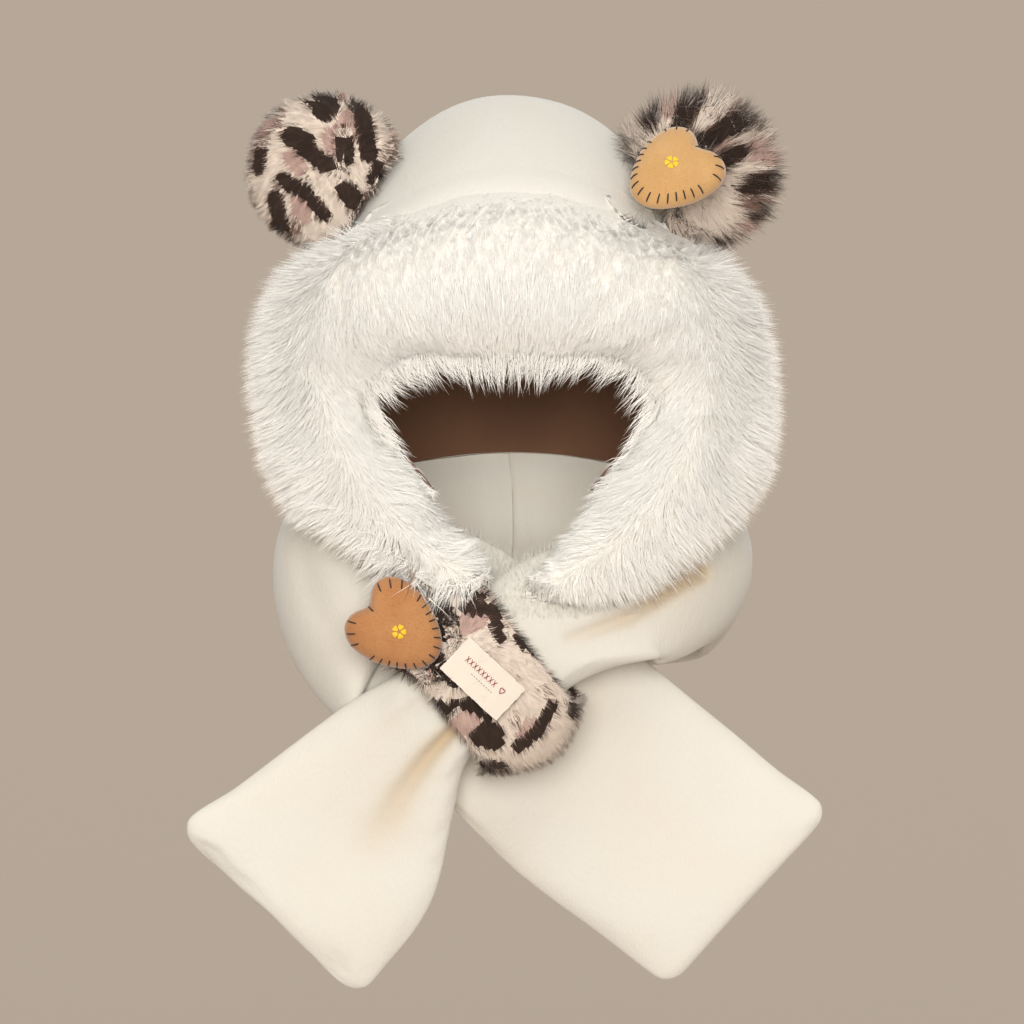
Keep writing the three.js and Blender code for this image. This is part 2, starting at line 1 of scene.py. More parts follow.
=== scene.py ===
"""The looks of a plush hood scarf with animal ears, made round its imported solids.

Lengths are metres, +Z is up, the face opening looks towards -Y, and the origin is the top of the inside.
What is placed as it is seen from the front has a column and a row of the front picture, which Picture
turns into places of the frame.
"""

from __future__ import annotations

import logging
import math
from dataclasses import dataclass, field, replace
from enum import Enum
from typing import Callable, Iterable, Sequence

import bmesh
import bpy
import numpy as np
from mathutils import Matrix, Vector
from mathutils.bvhtree import BVHTree
from mathutils.kdtree import KDTree


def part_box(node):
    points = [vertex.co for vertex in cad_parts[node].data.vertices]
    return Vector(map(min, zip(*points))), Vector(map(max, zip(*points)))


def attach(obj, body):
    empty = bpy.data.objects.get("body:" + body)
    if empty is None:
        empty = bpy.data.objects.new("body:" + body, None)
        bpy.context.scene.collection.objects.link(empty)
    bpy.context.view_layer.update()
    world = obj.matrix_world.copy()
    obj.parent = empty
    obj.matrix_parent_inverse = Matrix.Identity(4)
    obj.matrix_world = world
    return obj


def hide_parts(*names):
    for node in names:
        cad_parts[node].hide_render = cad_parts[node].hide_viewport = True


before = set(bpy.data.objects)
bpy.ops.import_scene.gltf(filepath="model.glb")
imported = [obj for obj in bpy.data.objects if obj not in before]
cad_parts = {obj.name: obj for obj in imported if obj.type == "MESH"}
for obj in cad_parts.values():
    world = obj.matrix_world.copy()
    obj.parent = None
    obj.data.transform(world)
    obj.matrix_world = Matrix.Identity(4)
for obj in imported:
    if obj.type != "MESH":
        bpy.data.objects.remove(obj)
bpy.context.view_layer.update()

logging.basicConfig(level=logging.INFO, format="%(message)s")
log = logging.getLogger("hood_scarf")

Colour = tuple[int, int, int]
Pair = tuple[float, float]
Random = np.random.Generator
Socket = bpy.types.NodeSocket
Piece = bpy.types.Object
DOWN = np.array([0.0, 0.0, -1.0])
NECK = np.array([0.0, 0.0, -0.2159])  # the neck centre, about which the hood is shaped
UPRIGHT = 90.0  # the swing of the crown about the neck centre, in degrees
LABEL_TILT = -43.0  # the label's turn in the front plane, in degrees
CREASE_SHADE_AND_CROWN_TONE = "fold"  # the attribute that holds a point's share of the fold colour: painted shade in the scarf's creases, and on the underfur the plush tone by the crown


class Slot(Enum):
    """The record's material slots."""

    PLUSH = "plush_cream"
    WHITE_FUR = "fur_white"
    SPOTTED_FUR = "fur_spotted"
    LINING = "lining_brown"
    FELT = "felt_tan"
    LABEL = "label_cotton"


class Tone(Enum):
    """The colours of a leopard print, in the order of their materials on a spotted piece."""

    CREAM = 0
    DARK = 1
    PINK = 2
    BROWN = 3


# The front picture


@dataclass(frozen=True)
class Picture:
    """The front picture and the eye that sees it.

    Args:
        side: How many steps the picture spans.
        step: What one step of it spans at the object.
        middle: The place in its middle.
        elevation: How high the eye stands, in radians.
        distance: How far the eye is from the middle.
        sensor: The width of the camera's sensor, in millimetres.
        sight: How far the camera sees.
    """

    side: int = 1024
    step: float = 0.0006
    middle: tuple[float, float, float] = (0.0, 0.0, -0.2453)
    elevation: float = math.radians(5.0)
    distance: float = 8.0
    sensor: float = 36.0
    sight: float = 200.0

    def seen(self, points: np.ndarray) -> np.ndarray:
        """Where points are seen from the front.

        Args:
            points: Places, one a row.

        Returns:
            A column and a row of the picture for each.
        """
        away = points - np.array(self.middle)
        rise = away[:, 1] * math.sin(self.elevation) + away[:, 2] * math.cos(self.elevation)
        nearer = away[:, 2] * math.sin(self.elevation) - away[:, 1] * math.cos(self.elevation)
        larger = self.distance / (self.distance - nearer) / self.step
        return np.column_stack([self.side / 2 + away[:, 0] * larger, self.side / 2 - rise * larger])

    def camera(self) -> None:
        """Makes the camera that sees the picture."""
        data = bpy.data.cameras.new("camera")
        data.sensor_width = self.sensor
        data.lens = data.sensor_width * self.distance / (self.side * self.step)
        data.clip_end = self.sight
        camera = bpy.data.objects.new("camera", data)
        bpy.context.scene.collection.objects.link(camera)
        back = Vector((0, -math.cos(self.elevation), math.sin(self.elevation)))
        camera.location = Vector(self.middle) + back * self.distance
        camera.rotation_euler = (-back).to_track_quat("-Z", "Y").to_euler()
        bpy.context.scene.camera = camera


PICTURE = Picture()


# Finishes


def linear(colour: Colour) -> tuple[float, float, float, float]:
    """A colour as a shader's colour.

    Args:
        colour: Its red, green and blue, from 0 to 255, as a screen shows them.

    Returns:
        Its linear red, green and blue and a full fourth share.
    """
    shares = [c / 255 for c in colour]
    lit = [s / 12.92 if s <= 0.04045 else ((s + 0.055) / 1.055) ** 2.4 for s in shares]
    return (*lit, 1.0)


class Shader:
    """A material's nodes round its one Principled shader."""

    def __init__(self, name: str) -> None:
        """Starts a material.

        Args:
            name: The material's name.
        """
        self.material = bpy.data.materials.new(name)
        self.material.use_nodes = True
        self.nodes = self.material.node_tree.nodes
        self.surface = self.nodes["Principled BSDF"]

    def add(self, kind: str, **settings: object) -> bpy.types.Node:
        """Adds a node.

        Args:
            kind: The node's type.
            settings: Its settings by name.

        Returns:
            The node.
        """
        node = self.nodes.new(kind)
        for name, value in settings.items():
            setattr(node, name, value)
        return node

    def link(self, start: Socket, end: Socket) -> None:
        """Joins two sockets."""
        self.material.node_tree.links.new(start, end)

    def set(self, **values: float) -> None:
        """Sets the shader's own sockets; an underscore stands for a space."""
        for name, value in values.items():
            self.surface.inputs[name.replace("_", " ")].default_value = value

    def place(self, turn: Sequence[float] = (0, 0, 0), stretch: Sequence[float] = (1, 1, 1)) -> Socket:
        """Object coordinates, turned and stretched.

        Args:
            turn: The turn about each axis, in radians.
            stretch: The factor along each axis.

        Returns:
            The socket of the coordinates.
        """
        where = self.add("ShaderNodeTexCoord")
        mapping = self.add("ShaderNodeMapping")
        mapping.inputs["Rotation"].default_value = turn
        mapping.inputs["Scale"].default_value = stretch
        self.link(where.outputs["Object"], mapping.inputs["Vector"])
        return mapping.outputs["Vector"]

    def noise(self, scale: float, detail: float, stretch: Sequence[float] = (1, 1, 1)) -> Socket:
        """A noise over Object coordinates.

        Args:
            scale: How fine it is.
            detail: How many finer noises are laid over it.
            stretch: The factor along each axis.

        Returns:
            The socket of its value.
        """
        node = self.add("ShaderNodeTexNoise")
        node.inputs["Scale"].default_value = scale
        node.inputs["Detail"].default_value = detail
        self.link(self.place(stretch=stretch), node.inputs["Vector"])
        return node.outputs[0]

    def patches(self, scale: float, detail: float, low: float, high: float) -> Socket:
        """Patches of a noise over Object coordinates, with clearer borders than its own.

        Args:
            scale: How fine the noise is.
            detail: How many finer noises are laid over it.
            low: The value up to which the share is 0.
            high: The value from which the share is 1.

        Returns:
            The socket of the share.
        """
        value = self.noise(scale, detail)
        node = self.add("ShaderNodeMapRange")
        node.inputs["From Min"].default_value = low
        node.inputs["From Max"].default_value = high
        self.link(value, node.inputs["Value"])
        return node.outputs["Result"]

    def mix(self, share: Socket, first: Colour | Socket, second: Colour | Socket) -> Socket:
        """Mixes two colours.

        Args:
            share: The share of the second one.
            first: The first colour.
            second: The second colour.

        Returns:
            The socket of the mixed colour.
        """
        node = self.add("ShaderNodeMix", data_type="RGBA")
        self.link(share, node.inputs[0])
        for socket, value in ((node.inputs[6], first), (node.inputs[7], second)):
            if isinstance(value, Socket):
                self.link(value, socket)
            else:
                socket.default_value = linear(value)
        return node.outputs[2]

    def paint(self, colour: Socket) -> None:
        """Gives the surface its colour."""
        self.link(colour, self.surface.inputs["Base Color"])

    def relief(self, height: Socket, depth: float, strength: float) -> None:
        """Gives the surface a fine relief, deeper than any it had.

        Args:
            height: The relief's height, from 0 to 1.
            depth: What a height of 1 is.
            strength: The share of the relief that shows.
        """
        node = self.add("ShaderNodeBump")
        node.inputs["Distance"].default_value = depth
        node.inputs["Strength"].default_value = strength
        self.link(height, node.inputs["Height"])
        before = self.surface.inputs["Normal"].links
        if before:
            self.link(before[0].from_socket, node.inputs["Normal"])
        self.link(node.outputs["Normal"], self.surface.inputs["Normal"])


@dataclass(frozen=True)
class Finish:
    """A finish, which is one plain matt colour unless a kind of its own says more.

    Args:
        name: Its material's name.
        colour: Its main colour.
    """

    name: str
    colour: Colour

    def material(self) -> bpy.types.Material:
        """Makes the finish's material.

        Returns:
            The material.
        """
        shader = Shader(self.name)
        self.lay(shader)
        return shader.material

    def lay(self, shader: Shader) -> None:
        """Gives the shader the finish's look."""
        shader.surface.inputs["Base Color"].default_value = linear(self.colour)
        shader.set(Roughness=1.0, Specular_IOR_Level=0.0)


@dataclass(frozen=True)
class PlushFinish(Finish):
    """Short even pile.

    Args:
        patch: The colour of its warmer patches.
        fold: The colour painted into its creases as shade, and on the underfur the plush tone that it takes
            by the crown.
        nap: How fine its nap is.
    """

    patch: Colour
    fold: Colour
    nap: float = 750.0

    def lay(self, shader: Shader) -> None:
        """Gives the shader patches, the fold colour (painted shade in creases, the plush tone on the
        underfur's crown) and a nap over slight lumps.

        Args:
            shader: The shader.
        """
        ground = shader.mix(shader.patches(16, 3, 0.35, 0.7), self.colour, self.patch)
        # The fold colour is painted shade in the scarf's creases; on the underfur it is the plush tone by the
        # crown.
        folds = shader.add("ShaderNodeAttribute", attribute_name=CREASE_SHADE_AND_CROWN_TONE)
        shader.paint(shader.mix(folds.outputs["Fac"], ground, self.fold))
        shader.relief(shader.noise(self.nap, 2, stretch=(1, 1, 0.45)), depth=0.0006, strength=0.5)
        shader.relief(shader.noise(120, 3), depth=0.0008, strength=0.4)
        shader.set(Roughness=0.95, Sheen_Weight=0.25, Sheen_Roughness=0.6, Specular_IOR_Level=0.15)


@dataclass(frozen=True)
class FurFinish(Finish):
    """The hairs of a fur.

    Args:
        patch: The colour that they drift into from place to place.
        sheen: The strength of their sheen.
        gloss: The strength of their highlights.
    """

    patch: Colour
    sheen: float = 0.15
    gloss: float = 0.2

    def lay(self, shader: Shader) -> None:
        """Gives the shader broad patches, with single hairs of the main colour in them.

        Args:
            shader: The shader.
        """
        ground = shader.mix(shader.patches(22, 2, 0.3, 0.7), self.colour, self.patch)
        shader.paint(shader.mix(shader.patches(1500, 1, 0.35, 0.65), ground, self.colour))
        shader.set(Roughness=0.85, Sheen_Weight=self.sheen, Specular_IOR_Level=self.gloss)


@dataclass(frozen=True)
class FeltFinish(Finish):
    """Short napped cloth of a stuffed charm.

    Args:
        lighter: The colour where its nap lies away.
        darker: The colour of its flecks.
    """

    lighter: Colour
    darker: Colour

    def lay(self, shader: Shader) -> None:
        """Gives the shader patches, flecks and a fine nap.

        Args:
            shader: The shader.
        """
        ground = shader.mix(shader.patches(60, 4, 0.3, 0.7), self.lighter, self.colour)
        shader.paint(shader.mix(shader.patches(1400, 2, 0.55, 0.8), ground, self.darker))
        shader.relief(shader.noise(1300, 3), depth=0.0004, strength=0.6)
        shader.set(Roughness=0.85, Sheen_Weight=0.5, Sheen_Roughness=0.45, Specular_IOR_Level=0.2)


@dataclass(frozen=True)
class WovenFinish(Finish):
    """Plain-woven cotton tape.

    Args:
        shade: The colour between its threads.
        tilt: How far its threads are turned in the front plane, in radians.
        thread: A thread's width.
    """

    shade: Colour
    tilt: float
    thread: float = 0.0005

    def lay(self, shader: Shader) -> None:
        """Gives the shader threads that cross.

        Args:
            shader: The shader.
        """
        over = []
        for direction in ("X", "Z"):
            node = shader.add("ShaderNodeTexWave", bands_direction=direction)
            node.inputs["Scale"].default_value = math.pi / 10 / self.thread
            node.inputs["Distortion"].default_value = 0.6
            shader.link(shader.place(turn=(0, self.tilt, 0)), node.inputs["Vector"])
            over.append(node.outputs["Fac"])
        weave = shader.add("ShaderNodeMath", operation="MULTIPLY")
        shader.link(over[0], weave.inputs[0])
        shader.link(over[1], weave.inputs[1])
        shader.paint(shader.mix(weave.outputs[0], self.shade, self.colour))
        shader.relief(weave.outputs[0], depth=0.0002, strength=0.7)
        shader.set(Roughness=0.8, Sheen_Weight=0.1, Specular_IOR_Level=0.25)


@dataclass(frozen=True)
class ThreadFinish(Finish):
    """Twisted embroidery thread.

    Args:
        shade: The colour between its strands.
    """

    shade: Colour

    def lay(self, shader: Shader) -> None:
        """Gives the shader strands.

        Args:
            shader: The shader.
        """
        shader.paint(shader.mix(shader.patches(1800, 2, 0.4, 0.7), self.colour, self.shade))
        shader.relief(shader.noise(2500, 1), depth=0.0002, strength=0.5)
        shader.set(Roughness=0.55, Sheen_Weight=0.2, Specular_IOR_Level=0.35)


# Each plush's third colour is painted shade for its creases.
HOOD_PLUSH = PlushFinish("hood plush", (204, 200, 191), (203, 197, 185), (188, 164, 130))
# The scarf's plush is the hood's plush painted about 4 % lighter: painted light against the shade on its neck
# part.
SCARF_PLUSH_PAINTED_LIGHTER = PlushFinish("scarf plush", (213, 208, 197), (212, 205, 192), (190, 166, 132))
BROWN_LINING = PlushFinish("brown lining", (116, 82, 60), (104, 72, 52), (84, 58, 42), nap=600.0)
WHITE_HAIR = FurFinish("white hair", (254, 250, 243), (252, 247, 239), sheen=0.05, gloss=0.1)
# The underfur is white fur painted a little darker than the hairs, a painted shade for the shadow among them.
UNDERFUR_WITH_PAINTED_SHADE = PlushFinish("white underfur", (232, 226, 216), (229, 222, 210), (204, 200, 191))
SPOTTED_HAIR = {
    Tone.CREAM: FurFinish("cream hair", (216, 199, 183), (228, 213, 198)),
    Tone.DARK: FurFinish("dark hair", (50, 37, 30), (66, 49, 41)),
    Tone.PINK: FurFinish("pink hair", (188, 158, 146), (172, 142, 131)),
    Tone.BROWN: FurFinish("brown hair", (112, 86, 75), (132, 105, 92)),
}
LIGHT_FELT = FeltFinish("light tan felt", (188, 144, 90), (197, 155, 103), (165, 120, 73))
DARK_FELT = FeltFinish("dark tan felt", (169, 113, 68), (182, 130, 83), (142, 90, 54))
COTTON_TAPE = WovenFinish("cotton tape", (243, 234, 221), (222, 209, 192), math.radians(LABEL_TILT))
RED_THREAD = ThreadFinish("red thread", (150, 24, 44), (118, 14, 32))
BROWN_THREAD = ThreadFinish("brown thread", (50, 32, 24), (30, 19, 15))
YELLOW_THREAD = ThreadFinish("yellow thread", (240, 200, 44), (222, 176, 30))
STUDIO_PAPER = Finish("studio paper", (182, 168, 154))


# Meshes


def coordinates(mesh: bpy.types.Mesh) -> np.ndarray:
    """Reads a mesh's points.

    Args:
        mesh: The mesh.

    Returns:
        Their places, one a row.
    """
    flat = np.empty(len(mesh.vertices) * 3)
    mesh.vertices.foreach_get("co", flat)
    return flat.reshape(-1, 3)


def move_to(mesh: bpy.types.Mesh, points: np.ndarray) -> None:
    """Moves a mesh's points to places, one a row."""
    mesh.vertices.foreach_set("co", np.ascontiguousarray(points, dtype=np.float32).ravel())
    mesh.update()


def facing(mesh: bpy.types.Mesh) -> np.ndarray:
    """Reads the directions that a mesh's points face.

    Args:
        mesh: The mesh.

    Returns:
        The directions, one a row.
    """
    flat = np.empty(len(mesh.vertices) * 3)
    mesh.vertex_normals.foreach_get("vector", flat)
    return flat.reshape(-1, 3)


def unit(vectors: np.ndarray) -> np.ndarray:
    """Vectors of length 1, one a row."""
    return vectors / np.maximum(np.linalg.norm(vectors, axis=1, keepdims=True), 1e-9)


def linked(name: str, mesh: bpy.types.Mesh) -> Piece:
    """Puts a mesh into the scene.

    Args:
        name: Its object's name.
        mesh: The mesh.

    Returns:
        The object.
    """
    piece = bpy.data.objects.new(name, mesh)
    bpy.context.scene.collection.objects.link(piece)
    return piece


def settle(piece: Piece) -> None:
    """Makes what a piece's modifiers show its own mesh.

    Args:
        piece: The piece.
    """
    graph = bpy.context.evaluated_depsgraph_get()
    made = bpy.data.meshes.new_from_object(piece.evaluated_get(graph), depsgraph=graph)
    before = piece.data
    piece.modifiers.clear()
    piece.data = made
    bpy.data.meshes.remove(before)
    made.name = piece.name


def subdivide(piece: Piece, levels: int) -> None:
    """Rounds a piece by subdivision, and keeps the result.

    Args:
        piece: The piece.
        levels: How often it is subdivided.
    """
    rounding = piece.modifiers.new("rounding", "SUBSURF")
    rounding.levels = rounding.render_levels = levels
    settle(piece)


def even_out(piece: Piece, passes: int) -> None:
    """Smooths a piece, and keeps the result.

    Args:
        piece: The piece.
        passes: How often it is smoothed.
    """
    smoothing = piece.modifiers.new("smoothing", "SMOOTH")
    smoothing.factor = 0.5
    smoothing.iterations = passes
    settle(piece)


def hold_size(piece: Piece, levels: int, rounds: int, back: float = 0.8) -> None:
    """Moves a piece's points out so that its rounded form passes through where they were.

    Args:
        piece: The piece, before it is subdivided.
        levels: How often it will be subdivided.
        rounds: How often the points are moved.
        back: How much of the way back to its place a point is moved each time, as a share.
    """
    rest = coordinates(piece.data)
    rounding = piece.modifiers.new("rounding", "SUBSURF")
    rounding.levels = rounding.render_levels = levels
    for _ in range(rounds):
        graph = bpy.context.evaluated_depsgraph_get()
        rounded = piece.evaluated_get(graph)
        made = coordinates(rounded.to_mesh())[: len(rest)]
        rounded.to_mesh_clear()
        move_to(piece.data, coordinates(piece.data) + (rest - made) * back)
    piece.modifiers.clear()


SAME_PLACE = 2e-6  # points nearer than this are one
JOINED = {"angle_face_threshold": math.radians(60), "angle_shape_threshold": math.radians(70)}
SHARP = math.radians(50)  # an edge over this angle can keep its place


def soft_copy(
    node: str, name: str, levels: int, passes: int = 0, keep: float = 0.0, rounds: int = 0
) -> Piece:
    """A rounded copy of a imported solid.

    Args:
        node: The solid's name.
        name: The copy's name.
        levels: How often it is subdivided.
        passes: How often it is smoothed after that.
        keep: How far its sharp edges keep their place, from 0 to 1.
        rounds: How often it is moved out to hold its size.

    Returns:
        The copy, with no material.
    """
    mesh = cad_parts[node].data.copy()
    mesh.materials.clear()
    work = bmesh.new()
    work.from_mesh(mesh)
    bmesh.ops.remove_doubles(work, verts=work.verts, dist=SAME_PLACE)
    bmesh.ops.recalc_face_normals(work, faces=work.faces)
    bmesh.ops.join_triangles(work, faces=work.faces, **JOINED)
    if keep:
        crease = work.edges.layers.float.new("crease_edge")
        for edge in work.edges:
            if edge.is_manifold and edge.calc_face_angle() > SHARP:
                edge[crease] = keep
    work.to_mesh(mesh)
    work.free()
    piece = linked(name, mesh)
    if rounds:
        hold_size(piece, levels, rounds)
    if levels:
        subdivide(piece, levels)
    if passes:
        even_out(piece, passes)
    piece.data.shade_smooth()
    return piece


def tree_of(piece: Piece) -> BVHTree:
    """A search tree over a piece's faces."""
    mesh = piece.data
    return BVHTree.FromPolygons([v.co for v in mesh.vertices], [p.vertices for p in mesh.polygons])


def pull_in(piece: Piece, depth: float, share: float = 0.3, inside: float = 1e-4) -> None:
    """Moves a piece's surface in, less where it is thin.

    Args:
        piece: The piece.
        depth: The furthest that a point moves.
        share: The most that it moves, as a share of the piece's thickness there.
        inside: How far inside the surface the look for the thickness starts.
    """
    mesh = piece.data
    points, normals = coordinates(mesh), facing(mesh)
    tree = tree_of(piece)
    inwards = np.zeros(len(points))
    for i, (point, normal) in enumerate(zip(points, normals)):
        _, _, _, thickness = tree.ray_cast(Vector(point - normal * inside), Vector(-normal), 1.0)
        inwards[i] = min(depth, share * (thickness or 0.0))
    move_to(mesh, points - normals * inwards[:, None])


def puff_up(
    piece: Piece, pressure: float, most: float, stretch: float = 0.0, frames: int = 20
) -> None:
    """Fills a piece by a cloth simulation, and keeps the result.

    Args:
        piece: The piece.
        pressure: The filling's pressure.
        most: The furthest that a point may move.
        stretch: How much larger the cloth is than the piece, as a share.
        frames: How long it is filled.
    """
    rest = coordinates(piece.data)
    cloth = piece.modifiers.new("filling", "CLOTH")
    settings = cloth.settings
    settings.quality = 5
    settings.use_pressure = True
    settings.uniform_pressure_force = pressure
    settings.effector_weights.gravity = 0
    settings.shrink_min = -stretch
    cloth.point_cache.frame_start = 1
    cloth.point_cache.frame_end = frames
    for step in range(1, frames + 1):
        bpy.context.scene.frame_set(step)
    settle(piece)
    moved = coordinates(piece.data) - rest
    far = np.linalg.norm(moved, axis=1, keepdims=True)
    move_to(piece.data, rest + moved * np.minimum(1.0, most / np.maximum(far, 1e-9)))
    bpy.context.scene.frame_set(1)


def ripples(points: np.ndarray, wavelength: float, seed: int, swells: int = 9) -> np.ndarray:
    """A smooth drift of directions through space.

    Args:
        points: Places, one a row.
        wavelength: About how far apart its swells are.
        seed: Which drift of all it is.
        swells: How many waves it is made of.

    Returns:
        A vector of about length 1 or less for each place.
    """
    random = np.random.default_rng(seed)
    drift = np.zeros((len(points), 3))
    for _ in range(swells):
        heading = unit(random.normal(size=(1, 3)))[0]
        phase = points @ heading * (2 * math.pi / (wavelength * random.uniform(0.7, 1.5)))
        drift += np.sin(phase + random.uniform(0, 2 * math.pi))[:, None] * random.normal(size=3)
    return drift / 4.0


def wrinkle(piece: Piece, height: float, wavelength: float, seed: int) -> None:
    """Gives a piece the slight unevenness of cloth.

    Args:
        piece: The piece.
        height: The height of its swells.
        wavelength: About how far apart they are.
        seed: Which swells of all they are.
    """
    points = coordinates(piece.data)
    swell = ripples(points, wavelength, seed)[:, :1]
    move_to(piece.data, points + facing(piece.data) * swell * height)


def smooth(value: np.ndarray, low: float, high: float) -> np.ndarray:
    """A soft step from 0 at one value to 1 at another."""
    share = np.clip((value - low) / (high - low), 0, 1)
    return share * share * (3 - 2 * share)


BROW_ABOVE = (305, 362)  # the rows of the picture over which the brow's rise comes in
BROW_BELOW = (392, 450)  # the rows over which it fades out
BROW_SIDES = (0.055, 0.098)  # the distances from the middle over which it fades out
BROW_FRONT = (0.03, 0.07)  # the distances to the front over which it comes in


def lift_brow(piece: Piece, rise: float = 0.0072) -> None:
    """Draws the rim over the face up, so that the lining is seen between the hanging hairs.

    Args:
        piece: The piece.
        rise: The furthest that a point moves up.
    """
    points = coordinates(piece.data)
    row = PICTURE.seen(points)[:, 1]
    share = smooth(row, *BROW_ABOVE) * (1 - smooth(row, *BROW_BELOW))
    share *= (1 - smooth(np.abs(points[:, 0]), *BROW_SIDES)) * smooth(-points[:, 1], *BROW_FRONT)
    points[:, 2] += rise * share
    move_to(piece.data, points)


def round_end(piece: Piece, start: Pair, along: Pair, half: float, fullness: float = 0.75) -> None:
    """Rounds the corners of a piece's end, as they are seen from the front.

    Args:
        piece: The piece.
        start: The place of the picture in the piece's middle where the rounding starts.
        along: The way from there to the end, of length 1.
        half: Half the piece's width, in steps of the picture.
        fullness: How round the end gets, from 0 for square to 1 for a half circle.
    """
    points = coordinates(piece.data)
    axis = np.array(along)
    away = PICTURE.seen(points) - np.array(start)
    ahead = np.maximum(away @ axis, 0.0)
    across = np.clip(np.abs(away @ np.array([-axis[1], axis[0]])) / half, 0, 1)
    back = ahead * (1 - np.sqrt(1 - fullness * across**2)) * PICTURE.step
    points[:, 0] -= back * axis[0]
    points[:, 2] += back * axis[1]
    move_to(piece.data, points)


def close_up(piece: Piece, others: Sequence[Piece], reach: float, behind: float, gap: float = 0.0003) -> None:
    """Draws the edges of a piece at the back up to the pieces beside it, as a seam does.

    Args:
        piece: The piece.
        others: The pieces beside it.
        reach: How near a point has to be.
        behind: The depth behind which it is done.
        gap: What stays between them.
    """
    points = coordinates(piece.data)
    for other in others:
        tree = tree_of(other)
        for i in np.flatnonzero(points[:, 1] > behind):
            where, _, _, far = tree.find_nearest(Vector(points[i]), reach)
            if where is not None and far > gap:
                share = min(1.0, 2 * (1 - far / reach)) * (1 - gap / far)
                points[i] += (np.array(where) - points[i]) * share
    move_to(piece.data, points)


def rank(face: bmesh.types.BMFace) -> float:
    """A number for a face that follows from the numbers of its points alone."""
    numbers = [vert.index for vert in face.verts]
    return 1e5 * min(numbers) + sum(numbers)


def dress(piece: Piece, *materials: bpy.types.Material) -> None:
    """Gives a piece its materials."""
    for material in materials:
        piece.data.materials.append(material)


def seat(piece: Piece, slot: Slot, *nodes: str) -> None:
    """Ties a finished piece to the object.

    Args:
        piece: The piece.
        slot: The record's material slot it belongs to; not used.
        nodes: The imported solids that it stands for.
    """
    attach(piece, "root")
    if nodes:
        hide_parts(*nodes)
    piece.data.calc_loop_triangles()
    log.info("%s: %d triangles", piece.name, len(piece.data.loop_triangles))


# Folds


@dataclass(frozen=True)
class Fold:
    """A crease, as its course is seen from the front.

    Args:
        course: Columns and rows of the picture, from its deep end to where it fades out.
        width: Half its width at its deep end, in steps of the picture.
        depth: How deep it is pressed.
        crease_shade: Its share of the fold colour, a painted shade in the crease.
        widening: How many times as wide it is where it fades.
    """

    course: tuple[tuple[float, float], ...]
    width: float
    depth: float
    crease_shade: float
    widening: float = 2.0

    def nearness(self, seen: np.ndarray) -> np.ndarray:
        """How near points are to the crease, less towards the end where it fades.

        Args:
            seen: The points' columns and rows of the picture.

        Returns:
            The nearness of each, from 0 to 1.
        """
        course = np.array(self.course, float)
        lengths = np.linalg.norm(np.diff(course, axis=0), axis=1)
        before = np.concatenate([[0.0], np.cumsum(lengths)])
        nearest = np.full(len(seen), np.inf)
        along = np.zeros(len(seen))
        for i, length in enumerate(lengths):
            step = (course[i + 1] - course[i]) / length
            share = np.clip((seen - course[i]) @ step, 0, length)
            off = np.linalg.norm(seen - course[i] - share[:, None] * step, axis=1)
            closer = off < nearest
            nearest[closer] = off[closer]
            along[closer] = (before[i] + share)[closer] / before[-1]
        width = self.width * (1 + (self.widening - 1) * along)
        fade = np.clip(1.15 - along, 0, 1) ** 0.8
        return np.exp(-((nearest / width) ** 2)) * fade


def press(piece: Piece, folds: Iterable[Fold]) -> None:
    """Presses creases into the front of a piece and marks them for the fold colour, a painted shade half as
    wide again as each dent.

    Args:
        piece: The piece.
        folds: The creases.
    """
    mesh = piece.data
    points, normals = coordinates(mesh), facing(mesh)
    seen = PICTURE.seen(points)
    towards = np.clip(-normals[:, 1] * 1.6, 0, 1)
    # The fold colour is painted shade, laid in a band half as wide again as the dent.
    crease_shade = np.zeros(len(points))
    for fold in folds:
        points[:, 1] += fold.nearness(seen) * towards * fold.depth
        crease_shade_band = replace(fold, width=fold.width * 1.5).nearness(seen) * towards
        crease_shade = np.maximum(crease_shade, crease_shade_band * fold.crease_shade)
    move_to(mesh, points)
    marks = mesh.attributes.new(CREASE_SHADE_AND_CROWN_TONE, "FLOAT", "POINT")
    marks.data.foreach_set("value", crease_shade.astype(np.float32))


# Fur


@dataclass
class Growth:
    """How a coat's hairs grow from their roots, one row a hair.

    Args:
        first: The direction of the lower half.
        second: The direction of the upper half.
        length: The length.
    """

    first: np.ndarray
    second: np.ndarray
    length: np.ndarray

    def clear(self, roots: np.ndarray, pieces: Sequence[Piece]) -> np.ndarray:
        """Finds the hairs that stay out of some pieces.

        Args:
            roots: The hairs' roots.
            pieces: The pieces.

        Returns:
            Whether each hair does.
        """
        middles = roots + self.first * self.length[:, None] / 2
        tips = middles + self.second * self.length[:, None] / 2
        return clear_of(middles, pieces) & clear_of(tips, pieces)

    def of(self, chosen: np.ndarray) -> Growth:
        """The growth of some of the hairs."""
        return Growth(self.first[chosen], self.second[chosen], self.length[chosen])


def leaning(normals: np.ndarray, towards: np.ndarray, angle: np.ndarray) -> np.ndarray:
    """Directions that lean from the normals.

    Args:
        normals: The surface's directions.
        towards: Where they lean to.
        angle: How far, in radians.

    Returns:
        The directions, of length 1.
    """
    along = unit(towards - normals * np.sum(towards * normals, axis=1, keepdims=True))
    return normals * np.cos(angle)[:, None] + along * np.sin(angle)[:, None]


